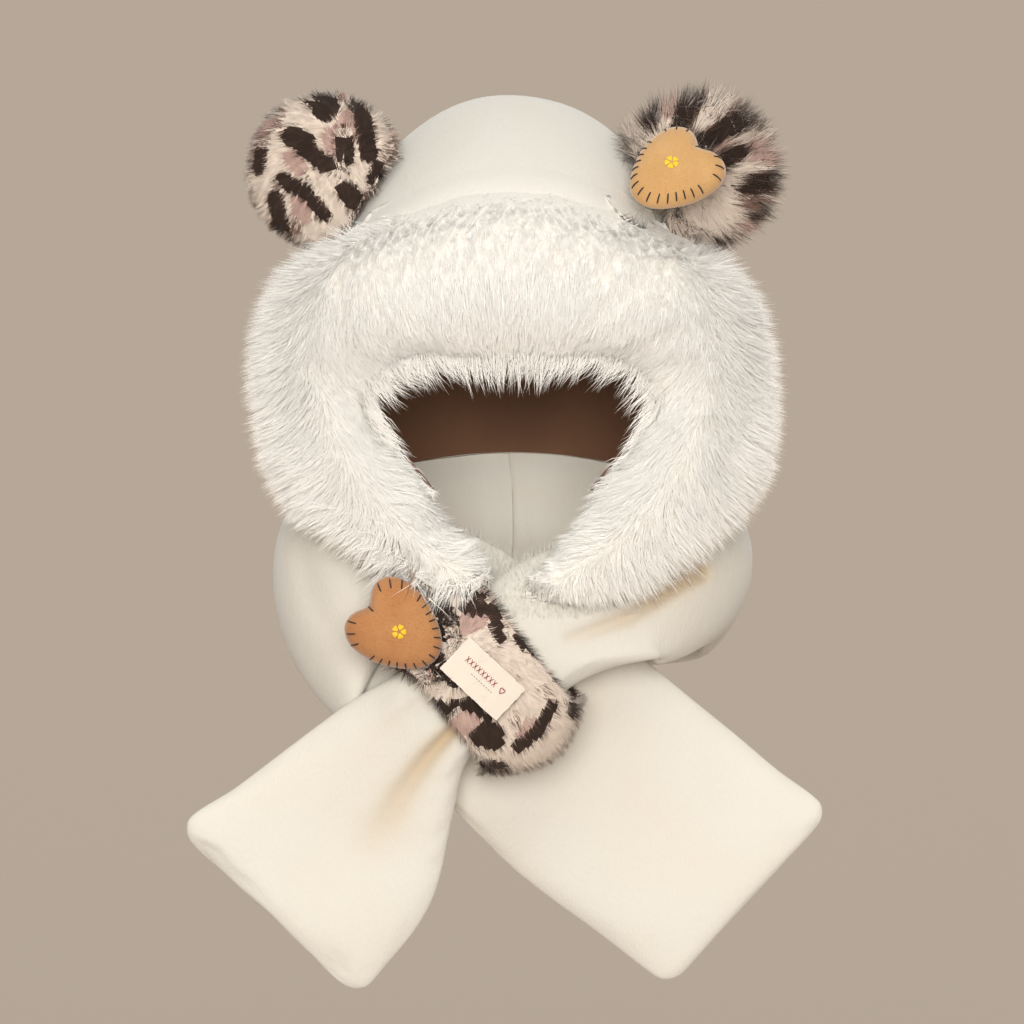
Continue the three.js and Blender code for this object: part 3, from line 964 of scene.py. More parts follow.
@dataclass(frozen=True)
class Lie:
    """How hairs follow the way that they are combed.

    Args:
        scatter: How much their leaning differs, in radians.
        loose: How loosely the lower half follows.
        droop: How much more the upper half heads down.
        bend: How much further the upper half leans, in radians.
        upper_loose: How loosely the upper half follows.
    """

    scatter: float
    loose: float
    droop: float
    bend: float
    upper_loose: float

    def comb(self, normals: np.ndarray, heading: np.ndarray, angle: np.ndarray, random: Random) -> Growth:
        """Combs hairs.

        Args:
            normals: The directions that the surface faces at their roots.
            heading: Where they lean to.
            angle: How far, in radians.
            random: Where chance comes from.

        Returns:
            How they grow, with no length yet.
        """
        shape = (len(normals), 3)
        first = unit(leaning(normals, heading, angle) + random.normal(0, self.loose, shape))
        upper = leaning(normals, heading + DOWN * self.droop, angle + self.bend)
        return Growth(first, unit(upper + random.normal(0, self.upper_loose, shape)), np.zeros(len(normals)))


Density = Callable[[np.ndarray, np.ndarray], np.ndarray]


def scattered(
    mesh: bpy.types.Mesh, count: int, random: Random, density: Density | None = None
) -> tuple[np.ndarray, np.ndarray]:
    """Random roots on a mesh.

    Args:
        mesh: The mesh.
        count: How many.
        random: Where chance comes from.
        density: How densely they grow at places that face some directions, the same all over if left out.

    Returns:
        The roots and the directions that the surface faces there, one a row.
    """
    mesh.calc_loop_triangles()
    corners = np.empty(len(mesh.loop_triangles) * 3, np.int64)
    mesh.loop_triangles.foreach_get("vertices", corners)
    corners = corners.reshape(-1, 3)
    points, normals = coordinates(mesh), facing(mesh)
    a, b, c = (points[corners[:, k]] for k in range(3))
    weight = np.linalg.norm(np.cross(b - a, c - a), axis=1)
    if density is not None:
        weight = weight * density((a + b + c) / 3, unit(normals[corners].sum(axis=1)))
    picked = random.choice(len(corners), size=count, p=weight / weight.sum())
    u, v = random.random(count), random.random(count)
    over = u + v > 1
    u[over], v[over] = 1 - u[over], 1 - v[over]
    shares = np.column_stack([1 - u - v, u, v])[:, :, None]
    roots = np.sum(points[corners[picked]] * shares, axis=1)
    return roots, unit(np.sum(normals[corners[picked]] * shares, axis=1))


def clear_of(points: np.ndarray, pieces: Iterable[Piece], room: float = 0.0004) -> np.ndarray:
    """Finds the points that lie outside closed pieces.

    Args:
        points: Places, one a row.
        pieces: The pieces.
        room: How far outside they have to lie.

    Returns:
        Whether each does.
    """
    clear = np.ones(len(points), bool)
    for piece in pieces:
        corners = coordinates(piece.data)
        near = np.all((points > corners.min(axis=0) - room) & (points < corners.max(axis=0) + room), axis=1)
        tree = tree_of(piece)
        for i in np.flatnonzero(near & clear):
            where, normal, _, far = tree.find_nearest(Vector(points[i]))
            inside = (Vector(points[i]) - where).dot(normal) < -0.3 * far
            clear[i] = far > room and not inside
    return clear


def gathered(roots: np.ndarray, growth: Growth, spacing: float, share: float, random: Random) -> Growth:
    """Draws the tips of hairs together in tufts.

    Args:
        roots: The hairs' roots.
        growth: How they grow.
        spacing: About how far apart the tufts' tips are.
        share: How far a tip moves to its tuft's.
        random: Where chance comes from.

    Returns:
        How they grow then.
    """
    middles = roots + growth.first * growth.length[:, None] / 2
    tips = middles + growth.second * growth.length[:, None] / 2
    cells = {}
    for i in random.permutation(len(tips)):
        cells.setdefault(tuple((tips[i] // spacing).astype(int)), i)
    chosen = list(cells.values())
    tufts = KDTree(len(chosen))
    for i in chosen:
        tufts.insert(tips[i], i)
    tufts.balance()
    nearest = np.array([tufts.find(tip)[1] for tip in tips])
    second = unit(tips + (tips[nearest] - tips) * share - middles)
    return Growth(growth.first, second, growth.length)


@dataclass
class Coat:
    """A coat of hairs, each a closed thin spike of three sides with one side up.

    Args:
        name: The piece's name.
        thickness: A hair's thickness at its root.
        softness: How far a hair is shaded as the surface under it, from 0 to 1.
        bent: Whether a hair is bent in its middle.
        sunk: How deep its root lies under the surface.
    """

    name: str
    thickness: float
    softness: float = 0.6
    bent: bool = True
    sunk: float = 0.0012

    def grow(
        self,
        roots: np.ndarray,
        normals: np.ndarray,
        growth: Growth,
        tones: np.ndarray | None = None,
        shaded: np.ndarray | None = None,
    ) -> Piece:
        """Makes the hairs.

        Args:
            roots: Their roots.
            normals: The directions that the surface faces there.
            growth: How they grow.
            tones: The number of each one's material.
            shaded: The directions of the surface that they are shaded as, if they are others.

        Returns:
            The piece, with no material.
        """
        count = len(roots)
        half = growth.length[:, None] / 2
        rings = [(roots - normals * self.sunk, 0.5)]
        if self.bent:
            rings.append((roots + growth.first * half, 0.42))
        tip = roots + (growth.first + growth.second) * half
        up = unit(normals - growth.first * np.sum(normals * growth.first, axis=1, keepdims=True))
        side = np.cross(up, growth.first)
        around = [(math.sqrt(0.75), 0.5), (-math.sqrt(0.75), 0.5), (0.0, -1.0)]
        soft = (normals if shaded is None else shaded) * self.softness
        last = 3 * len(rings)
        places = np.empty((count, last + 1, 3))
        shades = np.empty((count, last + 1, 3))
        for level, (middle, width) in enumerate(rings):
            for i, (sideways, upwards) in enumerate(around):
                out = side * sideways + up * upwards
                places[:, 3 * level + i] = middle + out * self.thickness * width
                turned = side * sideways + up * max(upwards, -0.3)
                shades[:, 3 * level + i] = unit(soft + turned * (1 - self.softness))
        places[:, last] = tip
        shades[:, last] = unit(soft + up * (1 - self.softness))
        pattern = [(0, 2, 1)]
        if self.bent:
            pattern += [(0, 1, 4, 3), (1, 2, 5, 4), (2, 0, 3, 5)]
        pattern += [(last - 3, last - 2, last), (last - 2, last - 1, last), (last - 1, last - 3, last)]
        corners = np.array([k for face in pattern for k in face])
        starts = np.concatenate([[0], np.cumsum([len(face) for face in pattern])[:-1]])
        hair = np.arange(count)[:, None]
        mesh = bpy.data.meshes.new(self.name)
        mesh.vertices.add(count * (last + 1))
        mesh.vertices.foreach_set("co", places.astype(np.float32).ravel())
        mesh.loops.add(count * len(corners))
        mesh.loops.foreach_set("vertex_index", (corners[None] + (last + 1) * hair).ravel())
        mesh.polygons.add(count * len(pattern))
        mesh.polygons.foreach_set("loop_start", (starts[None] + len(corners) * hair).ravel())
        if tones is not None:
            mesh.polygons.foreach_set("material_index", np.repeat(tones, len(pattern)))
        mesh.update(calc_edges=True)
        mesh.shade_smooth()
        mesh.normals_split_custom_set_from_vertices(shades.reshape(-1, 3))
        return linked(self.name, mesh)


# Leopard print


@dataclass(frozen=True)
class Mark:
    """A mark of the print, drawn out from one place of the front picture to another."""

    tone: Tone
    x0: float
    y0: float
    x1: float
    y1: float
    radius: float

    def covers(self, seen: np.ndarray, beyond: float = 0.0) -> np.ndarray:
        """Finds the places that the mark covers.

        Args:
            seen: Places of the picture, one a row.
            beyond: How far its border goes beyond it, if the border counts.

        Returns:
            Whether it covers each.
        """
        start, end = np.array([self.x0, self.y0]), np.array([self.x1, self.y1])
        along = end - start
        share = np.clip((seen - start) @ along / max(along @ along, 1e-9), 0, 1)
        return np.linalg.norm(seen - start - share[:, None] * along, axis=1) < self.radius * 1.04 + beyond


@dataclass
class LeopardPrint:
    """A leopard print: marks charted on the front, and rosettes on the sides and back.

    Args:
        marks: The charted marks, later ones over earlier ones.
        seed: Which scatter of all the rosettes have.
        spacing: How far apart they are.
        heart: How far the pink reaches from a rosette's centre.
        ring: Where its dark ring starts and ends.
    """

    marks: Sequence[Mark]
    seed: int
    spacing: float = 0.021
    heart: float = 0.0052
    ring: Pair = (0.0042, 0.0085)

    def tones(self, places: np.ndarray, normals: np.ndarray, border: float = 0.0) -> np.ndarray:
        """Looks up the print.

        Args:
            places: Places, one a row.
            normals: The directions that the surface faces there.
            border: The width of the brown borders round the dark marks, in steps of the picture.

        Returns:
            The number of the tone at each place.
        """
        tones = np.full(len(places), Tone.CREAM.value)
        seen = PICTURE.seen(places)
        front = normals[:, 1] < -0.3
        for mark in self.marks:
            if border and mark.tone is Tone.DARK:
                tones[mark.covers(seen, border) & front & (tones != mark.tone.value)] = Tone.BROWN.value
            tones[mark.covers(seen) & front] = mark.tone.value
        behind = ~front
        tones[behind] = self.rosettes(places[behind])
        return tones

    def rosettes(self, places: np.ndarray) -> np.ndarray:
        """Looks up the rosettes, which are scattered through space.

        Args:
            places: Places, one a row, at least one.

        Returns:
            The number of the tone at each place.
        """
        random = np.random.default_rng(self.seed)
        low = np.floor(places.min(axis=0) / self.spacing)
        cells = np.floor(places / self.spacing) - low
        size = cells.max(axis=0).astype(int) + 3
        offsets = random.uniform(0.15, 0.85, size=(*size, 3))
        gaps = random.uniform(0, 2 * math.pi, size=tuple(size))
        nearest = np.full(len(places), np.inf)
        angle = np.zeros(len(places))
        for step in np.ndindex(3, 3, 3):
            cell = np.clip(cells.astype(int) + np.array(step) - 1, 0, size - 1)
            index = tuple(cell.T)
            centre = (cell + low + offsets[index]) * self.spacing
            away = places - centre
            far = np.linalg.norm(away, axis=1)
            closer = far < nearest
            nearest[closer] = far[closer]
            angle[closer] = (np.arctan2(away[:, 2], away[:, 0] + away[:, 1]) + gaps[index])[closer]
        broken = np.sin(2 * angle) + 0.6 * np.sin(3 * angle + 1) > -0.35
        tones = np.full(len(places), Tone.CREAM.value)
        tones[nearest < self.heart] = Tone.PINK.value
        tones[(nearest > self.ring[0]) & (nearest < self.ring[1]) & broken] = Tone.DARK.value
        return tones


D, P, B = Tone.DARK, Tone.PINK, Tone.BROWN
LEFT_EAR_MARKS = (
    Mark(P, 268, 112, 256, 150, 9), Mark(P, 352, 122, 345, 133, 13), Mark(P, 330, 135, 332, 148, 7),
    Mark(P, 300, 200, 302, 216, 9), Mark(P, 396, 132, 402, 122, 8), Mark(P, 300, 168, 292, 158, 8),
    Mark(D, 322, 100, 326, 108, 13), Mark(D, 313, 96, 330, 98, 10),
    Mark(D, 292, 136, 306, 142, 10), Mark(D, 304, 148, 326, 164, 8.5), Mark(D, 326, 160, 332, 168, 6),
    Mark(D, 344, 134, 345, 158, 8.5), Mark(B, 340, 132, 348, 132, 5),
    Mark(D, 350, 97, 362, 116, 7), Mark(D, 362, 116, 369, 154, 8.5),
    Mark(B, 281, 112, 279, 126, 4.5), Mark(D, 262, 144, 259, 168, 6.5), Mark(B, 270, 132, 262, 144, 5),
    Mark(D, 284, 180, 306, 192, 7.5), Mark(D, 306, 192, 324, 214, 6.5),
    Mark(D, 276, 198, 284, 236, 8), Mark(D, 284, 236, 292, 248, 7.5), Mark(B, 296, 222, 298, 230, 5),
    Mark(D, 346, 190, 354, 200, 10), Mark(D, 378, 166, 372, 180, 5.5),
    Mark(B, 249, 190, 252, 208, 3.2), Mark(B, 252, 208, 258, 230, 3.2),
    Mark(B, 398, 116, 404, 124, 5.5), Mark(B, 386, 156, 394, 140, 6), Mark(D, 368, 99, 376, 105, 4),
    Mark(B, 370, 200, 366, 190, 4),
)
RIGHT_EAR_MARKS = (
    Mark(P, 752, 152, 776, 156, 11), Mark(P, 712, 156, 726, 150, 7), Mark(P, 742, 226, 756, 214, 9),
    Mark(P, 664, 112, 668, 96, 8), Mark(B, 740, 200, 752, 196, 8), Mark(P, 622, 150, 618, 170, 8),
    Mark(D, 650, 126, 653, 98, 8), Mark(D, 680, 128, 692, 98, 10.5), Mark(D, 686, 96, 700, 92, 6),
    Mark(D, 700, 146, 742, 118, 10), Mark(D, 742, 118, 752, 124, 8.5), Mark(D, 718, 164, 738, 152, 8),
    Mark(D, 742, 186, 770, 180, 9.5), Mark(D, 748, 214, 766, 206, 5.5), Mark(D, 712, 238, 736, 244, 6),
    Mark(B, 616, 128, 622, 112, 4), Mark(B, 728, 108, 744, 104, 4),
)
LOOP_MARKS = (
    Mark(P, 462, 626, 478, 618, 10), Mark(P, 452, 730, 470, 722, 11), Mark(P, 524, 626, 530, 614, 6),
    Mark(P, 402, 676, 412, 684, 7), Mark(P, 566, 664, 572, 674, 6), Mark(P, 520, 736, 532, 722, 6),
    Mark(D, 442, 608, 450, 624, 9), Mark(D, 438, 628, 444, 634, 7),
    Mark(D, 466, 608, 494, 610, 6.5), Mark(D, 494, 612, 499, 638, 6.5),
    Mark(D, 522, 640, 540, 650, 8.5), Mark(B, 520, 618, 522, 628, 4.5), Mark(D, 462, 592, 482, 597, 4.5),
    Mark(D, 554, 662, 560, 678, 6), Mark(D, 576, 686, 574, 712, 6), Mark(B, 541, 688, 545, 694, 5),
    Mark(D, 432, 652, 440, 664, 8), Mark(D, 444, 670, 456, 680, 8),
    Mark(D, 438, 704, 446, 710, 7), Mark(D, 468, 704, 488, 714, 7), Mark(D, 446, 706, 468, 702, 5),
    Mark(D, 480, 736, 494, 740, 10), Mark(D, 488, 726, 496, 732, 8), Mark(B, 512, 714, 518, 724, 5),
    Mark(D, 552, 706, 536, 732, 6), Mark(D, 536, 732, 518, 746, 6.5), Mark(D, 484, 766, 500, 768, 6.5),
    Mark(D, 396, 668, 414, 684, 6), Mark(D, 410, 656, 404, 664, 5),
    Mark(B, 384, 582, 394, 570, 9), Mark(D, 398, 568, 416, 565, 8), Mark(B, 418, 568, 428, 576, 7),
)


# Sub-assemblies


@dataclass
class Hood:
    """The plush hood and its lining.

    Args:
        levels: How often each is subdivided.
        keep: How far its sharp edges keep their place, from 0 to 1.
        unevenness: The height of the plush's slight swells.
        swell: How far apart they are.
    """

    levels: int = 2
    keep: float = 0.75
    unevenness: float = 0.0012
    swell: float = 0.08

    def build(self) -> None:
        """Makes the hood and its lining."""
        shell = soft_copy("hood_shell", "hood", self.levels, keep=self.keep)
        lift_brow(shell)
        wrinkle(shell, self.unevenness, self.swell, 11)
        dress(shell, HOOD_PLUSH.material())
        seat(shell, Slot.PLUSH, "hood_shell")
        lining = soft_copy("hood_lining", "lining", self.levels, keep=self.keep)
        lift_brow(lining)
        dress(lining, BROWN_LINING.material())
        seat(lining, Slot.LINING, "hood_lining")


@dataclass
class Scarf:
    """The two padded strips of the scarf.

    Args:
        pressure: The filling's pressure.
        most: The furthest that the filling moves a point.
        stretch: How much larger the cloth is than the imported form, as a share.
        unevenness: The height of the plush's slight swells.
        swell: How far apart they are.
        seam: How near the pieces have to be to be drawn together at the back.
        folds: The creases pressed into each strip.
    """

    pressure: float = 2.0
    most: float = 0.0022
    stretch: float = 0.02
    unevenness: float = 0.0008
    swell: float = 0.07
    seam: float = 0.014
    folds: dict[str, tuple[Fold, ...]] = field(
        default_factory=lambda: {
            "scarf_left": (
                Fold(((466, 716), (451, 732), (428, 757), (400, 796), (375, 842)), 4.5, 0.0065, 0.95, 3.0),
                Fold(((474, 752), (468, 780), (455, 815)), 4.0, 0.002, 0.12, 2.5),
                Fold(((420, 704), (398, 722), (366, 742)), 6.0, 0.002, 0.1, 2.5),
                Fold(((700, 574), (686, 581), (630, 617), (570, 639)), 8.0, 0.0075, 0.9, 0.7),
                Fold(((560, 600), (600, 596), (640, 572)), 9.0, 0.002, 0.05, 1.5),
            ),
            "scarf_right": (
                Fold(((585, 672), (600, 700), (606, 740)), 9.0, 0.002, 0.12, 2.0),
                Fold(((300, 560), (318, 612), (352, 660)), 12.0, 0.0025, 0.05, 1.2),
            ),
        }
    )

    def build(self) -> None:
        """Makes the strips."""
        # The strips' plush is painted lighter than the hood's, against the shade on them.
        plush = SCARF_PLUSH_PAINTED_LIGHTER.material()
        beside = [bpy.data.objects["hood"]]
        for node, folds in self.folds.items():
            strip = soft_copy(node, node.replace("scarf", "scarf_strip"), 2, rounds=1)
            puff_up(strip, self.pressure, self.most, self.stretch)
            even_out(strip, 2)
            subdivide(strip, 1)
            wrinkle(strip, self.unevenness, self.swell, 21)
            press(strip, folds)
            close_up(strip, beside, self.seam, behind=0.03)
            beside.append(strip)
            strip.data.shade_smooth()
            dress(strip, plush)
            seat(strip, Slot.PLUSH, node)


@dataclass
class Trim:
    """The long white fur round the face.

    Args:
        hairs: How many hairs grow on each of its three parts.
        length: A hair's usual length.
        lie: How the hairs lie.
        fringe_hairs: How many hang over the edge of the face opening.
        fringe_length: The usual length of one of those.
        fringe_lie: How those lie.
        depth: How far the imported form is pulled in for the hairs.
        charm: The place of the picture where hairs stand up before a charm.
        charm_reach: How far round it they do, in steps of the picture.
        bin: The step in degrees at which its width is measured.
        base: The underfur, once it is made.
        starts: The turn at which it starts at each step, once it is measured.
        ends: The turn at which it ends.
    """

    hairs: int = 37000
    length: float = 0.021
    lie: Lie = Lie(scatter=0.13, loose=0.06, droop=0.3, bend=0.2, upper_loose=0.09)
    fringe_hairs: int = 3400
    fringe_length: float = 0.026
    fringe_lie: Lie = Lie(scatter=0.16, loose=0.08, droop=0.2, bend=0.35, upper_loose=0.12)
    depth: float = 0.006
    charm: Pair = (672, 222)
    charm_reach: float = 40.0
    bin: float = 5.0
    base: Piece | None = None
    starts: np.ndarray = field(default_factory=lambda: np.zeros(0))
    ends: np.ndarray = field(default_factory=lambda: np.zeros(0))

    def around(self, points: np.ndarray) -> tuple[np.ndarray, np.ndarray]:
        """Finds the way to points from the neck centre.

        Args:
            points: Places, one a row.

        Returns:
            Their turn, 0 to the front, and their swing, 90 at the crown, in degrees.
        """
        away = points - NECK
        reach = np.linalg.norm(away, axis=1)
        turn = np.degrees(np.arccos(np.clip(-away[:, 1] / reach, -1, 1)))
        swing = np.degrees(np.arctan2(away[:, 2], away[:, 0]))
        return turn, np.where(swing < -UPRIGHT, swing + 360, swing)

    def steps(self, swing: np.ndarray) -> np.ndarray:
        """Where swings lie, in steps of the bin from under the chin."""
        return (swing + UPRIGHT) / self.bin

    def measure(self) -> None:
        """Finds the turns at which the trim starts and ends, all the way round."""
        turn, swing = self.around(coordinates(self.base.data))
        index = self.steps(swing).astype(int)
        every = np.arange(int(360 / self.bin) + 1)
        self.starts, self.ends = np.full(len(every), np.nan), np.full(len(every), np.nan)
        for i in every:
            inside = turn[index == i]
            if len(inside):
                self.starts[i], self.ends[i] = inside.min(), inside.max()
        known = np.flatnonzero(~np.isnan(self.starts))
        self.starts = np.interp(every, known, self.starts[known])
        self.ends = np.interp(every, known, self.ends[known])

    def between(self, values: np.ndarray, swing: np.ndarray) -> np.ndarray:
        """A value of each bin at swings between the bins' middles."""
        return np.interp(self.steps(swing) - 0.5, np.arange(len(values)), values)

    def share(self, points: np.ndarray) -> np.ndarray:
        """Finds how far across the trim points lie.

        Args:
            points: Places, one a row.

        Returns:
            The share of the way from the face at 0 to the hood at 1.
        """
        turn, swing = self.around(points)
        start, end = self.between(self.starts, swing), self.between(self.ends, swing)
        return (turn - start) / (end - start)

    def outwards(self, points: np.ndarray) -> np.ndarray:
        """The directions across the trim, from the face to the hood."""
        turn, swing = (np.radians(angle) for angle in self.around(points))
        return np.column_stack([np.cos(turn) * np.cos(swing), np.sin(turn), np.cos(turn) * np.sin(swing)])

    def upper(self, points: np.ndarray, across: Pair, around: Pair) -> np.ndarray:
        """Finds how near points are to the trim's upper edge.

        Args:
            points: Places, one a row.
            across: The shares of the way across over which the nearness comes in.
            around: The degrees from the crown over which it fades out.

        Returns:
            The nearness of each, from 0 to 1.
        """
        _, swing = self.around(points)
        return smooth(self.share(points), *across) * (1 - smooth(np.abs(swing - UPRIGHT), *around))

    def crown(self, points: np.ndarray) -> np.ndarray:
        """How near points are to where the hairs thin out into the plush, from 0 to 1."""
        return self.upper(points, (0.5, 0.95), (30, 62))

    def comb(self, roots: np.ndarray, normals: np.ndarray, random: Random) -> Growth:
        """Combs the hairs: over the opening at the face, outwards at the hood, flatter at the crown.

        Args:
            roots: Their roots.
            normals: The directions that the underfur faces there.
            random: Where chance comes from.

        Returns:
            How they grow.
        """
        _, swing = self.around(roots)
        share = self.share(roots)
        from_crown = np.abs(swing - UPRIGHT)
        crest = 0.3 + 0.9 * np.exp(-((from_crown / 46) ** 2))
        away = np.clip((share - crest) / 0.35, -1, 1)
        tufts = ripples(roots, 0.026, 3) + 0.5 * ripples(roots, 0.011, 4)
        heading = self.outwards(roots) * away[:, None] + tufts * 0.2 + DOWN * 0.3
        off = (PICTURE.seen(roots) - np.array(self.charm)) / self.charm_reach
        beside_charm = np.exp(-np.sum(off**2, axis=1))[:, None]
        heading += (np.array([0.5, -1.0, 1.0]) - heading) * beside_charm
        strength = np.minimum(1.0, np.linalg.norm(heading, axis=1))
        top = self.upper(roots, (0.1, 0.45), (22, 55))
        angle = np.radians(18 + 46 * strength + 15 * top)
        angle += random.normal(0, self.lie.scatter, len(roots)) * (1 - 0.5 * top)
        growth = self.lie.comb(normals, heading, angle, random)
        growth.length = self.length * random.uniform(0.6, 1.1, len(roots))
        growth.length *= np.minimum(np.clip((swing + 84) / 44, 0.3, 1), np.clip((264 - swing) / 22, 0.5, 1))
        growth.length *= 1 - 0.35 * top
        brow = 1 - smooth(from_crown, 50, 80)
        growth.length *= 1 - (0.2 + 0.3 * brow) * (1 - np.clip(share / 0.22, 0, 1))
        return gathered(roots, growth, 0.007, 0.4, random)

    def fringe(self, hood: Piece, random: Random) -> tuple[np.ndarray, np.ndarray, Growth]:
        """Grows the hairs on the hood's rim that hang over the opening.

        Args:
            hood: The hood.
            random: Where chance comes from.

        Returns:
            Their roots, the directions that the rim faces there and how they grow.
        """

        def on_rim(points: np.ndarray, normals: np.ndarray) -> np.ndarray:
            """How densely hairs grow on the rim.

            Args:
                points: Places on the hood.
                normals: The directions that it faces there.

            Returns:
                The density at each.
            """
            share = self.share(points)
            ahead = (np.sum(normals * unit(points - NECK), axis=1) > 0.25) | (normals[:, 1] < -0.5)
            return ((share > -0.7) & (share < 0.12) & ahead & (points[:, 1] < -0.03)).astype(float)

        roots, normals = scattered(hood.data, self.fringe_hairs, random, on_rim)
        heading = -self.outwards(roots) + ripples(roots, 0.012, 8) * 0.3 + DOWN * 0.25
        angle = np.radians(66) + random.normal(0, self.fringe_lie.scatter, self.fringe_hairs)
        growth = self.fringe_lie.comb(normals, heading, angle, random)
        growth.length = self.fringe_length * random.uniform(0.4, 1.1, self.fringe_hairs)
        growth.length *= 1 - 0.5 * smooth(PICTURE.seen(roots)[:, 1], 410, 470)
        return roots, normals, gathered(roots, growth, 0.003, 0.4, random)

    def make_base(self, hood: Piece) -> None:
        """Makes the underfur: laid on the hood at the crown, pulled in for the hairs elsewhere.

        Args:
            hood: The hood that the trim lies on.
        """
        self.base = soft_copy("fur_trim", "trim_underfur", 1)
        lift_brow(self.base)
        self.measure()
        packed = self.starts
        even_out(self.base, 4)
        self.measure()
        points, normals = coordinates(self.base.data), facing(self.base.data)
        _, swing = self.around(points)
        # Smoothing drew the edge at the face back, so it goes to the turn where it was packed.
        drawn = np.radians(self.between(self.starts - packed, swing))
        drawn *= np.clip(1 - self.share(points) / 0.4, 0, 1) * np.linalg.norm(points - NECK, axis=1)
        points -= self.outwards(points) * drawn[:, None]
        flat = self.upper(points, (0.35, 0.85), (20, 52)) * 0.93
        raised = 0.002 - 0.003 * smooth(self.share(points), 0.82, 0.97)
        shell = tree_of(hood)
        for i in np.flatnonzero(flat > 0):
            where, normal, _, _ = shell.find_nearest(Vector(points[i]))
            points[i] += (np.array(where + normal * raised[i]) - points[i]) * flat[i]
        inner = np.clip(self.share(points) / 0.3, 0.25, 1)
        outside = np.sum(normals * unit(points - NECK), axis=1) > -0.2
        cheek = 1 + 0.6 * smooth(swing, 150, 170) * (1 - smooth(swing, 215, 240))
        move_to(self.base.data, points - normals * (self.depth * inner * cheek * outside)[:, None])
        even_out(self.base, 3)
        self.base.data.shade_smooth()
        # Through the fold attribute, the underfur takes the plush tone towards the crown; on the scarf the
        # same attribute holds painted crease shade.
        shares = self.base.data.attributes.new(CREASE_SHADE_AND_CROWN_TONE, "FLOAT", "POINT")
        shares.data.foreach_set("value", self.crown(coordinates(self.base.data)).astype(np.float32))
        # The underfur's colour is painted shade among the hairs.
        dress(self.base, UNDERFUR_WITH_PAINTED_SHADE.material())
        seat(self.base, Slot.WHITE_FUR, "fur_trim")

    def build(self, hood: Piece, neighbours: Sequence[Piece]) -> None:
        """Makes the underfur and the hairs.

        Args:
            hood: The hood that the trim lies on.
            neighbours: The pieces that no hair enters.
        """
        self.make_base(hood)
        random = np.random.default_rng(71)

        def growing(points: np.ndarray, normals: np.ndarray) -> np.ndarray:
            """How densely hairs grow on the trim.

            Args:
                points: Places on the underfur.
                normals: The directions that it faces there.

            Returns:
                The density at each.
            """
            outside = np.sum(normals * unit(points - NECK), axis=1) > -0.25
            edge = 1 + 1.5 * np.exp(-((self.share(points) / 0.2) ** 2)) + (np.abs(normals[:, 1]) < 0.45)
            return np.where(outside, edge, 0.0) * (1 - self.crown(points)) ** 1.5

        roots, normals = scattered(self.base.data, int(self.hairs * 3.4), random, growing)
        growth = self.comb(roots, normals, random)
        material = WHITE_HAIR.material()
        _, swing = self.around(roots)
        free = growth.clear(roots, neighbours)
        parts = {"trim_fur_top": (62, 118), "trim_fur_left": (118, 400), "trim_fur_right": (-100, 62)}
        for name, (low, high) in parts.items():
            chosen = np.flatnonzero(free & (swing >= low) & (swing < high))[: self.hairs]
            faced = normals[chosen]
            ahead = unit(faced + np.array([0.0, -0.9, 0.1]) * smooth(-faced[:, 1:2], -0.15, 0.3))
            coat = Coat(name, 0.0005, bent=False)
            fur = coat.grow(roots[chosen], faced, growth.of(chosen), shaded=ahead)
            dress(fur, material)
            seat(fur, Slot.WHITE_FUR)
        roots, normals, growth = self.fringe(hood, random)
        ahead = unit(normals + np.array([0.0, -2.0, 0.0]))
        fringe = Coat("trim_fringe", 0.0004).grow(roots, normals, growth, shaded=ahead)
        dress(fringe, material)
        seat(fringe, Slot.WHITE_FUR)


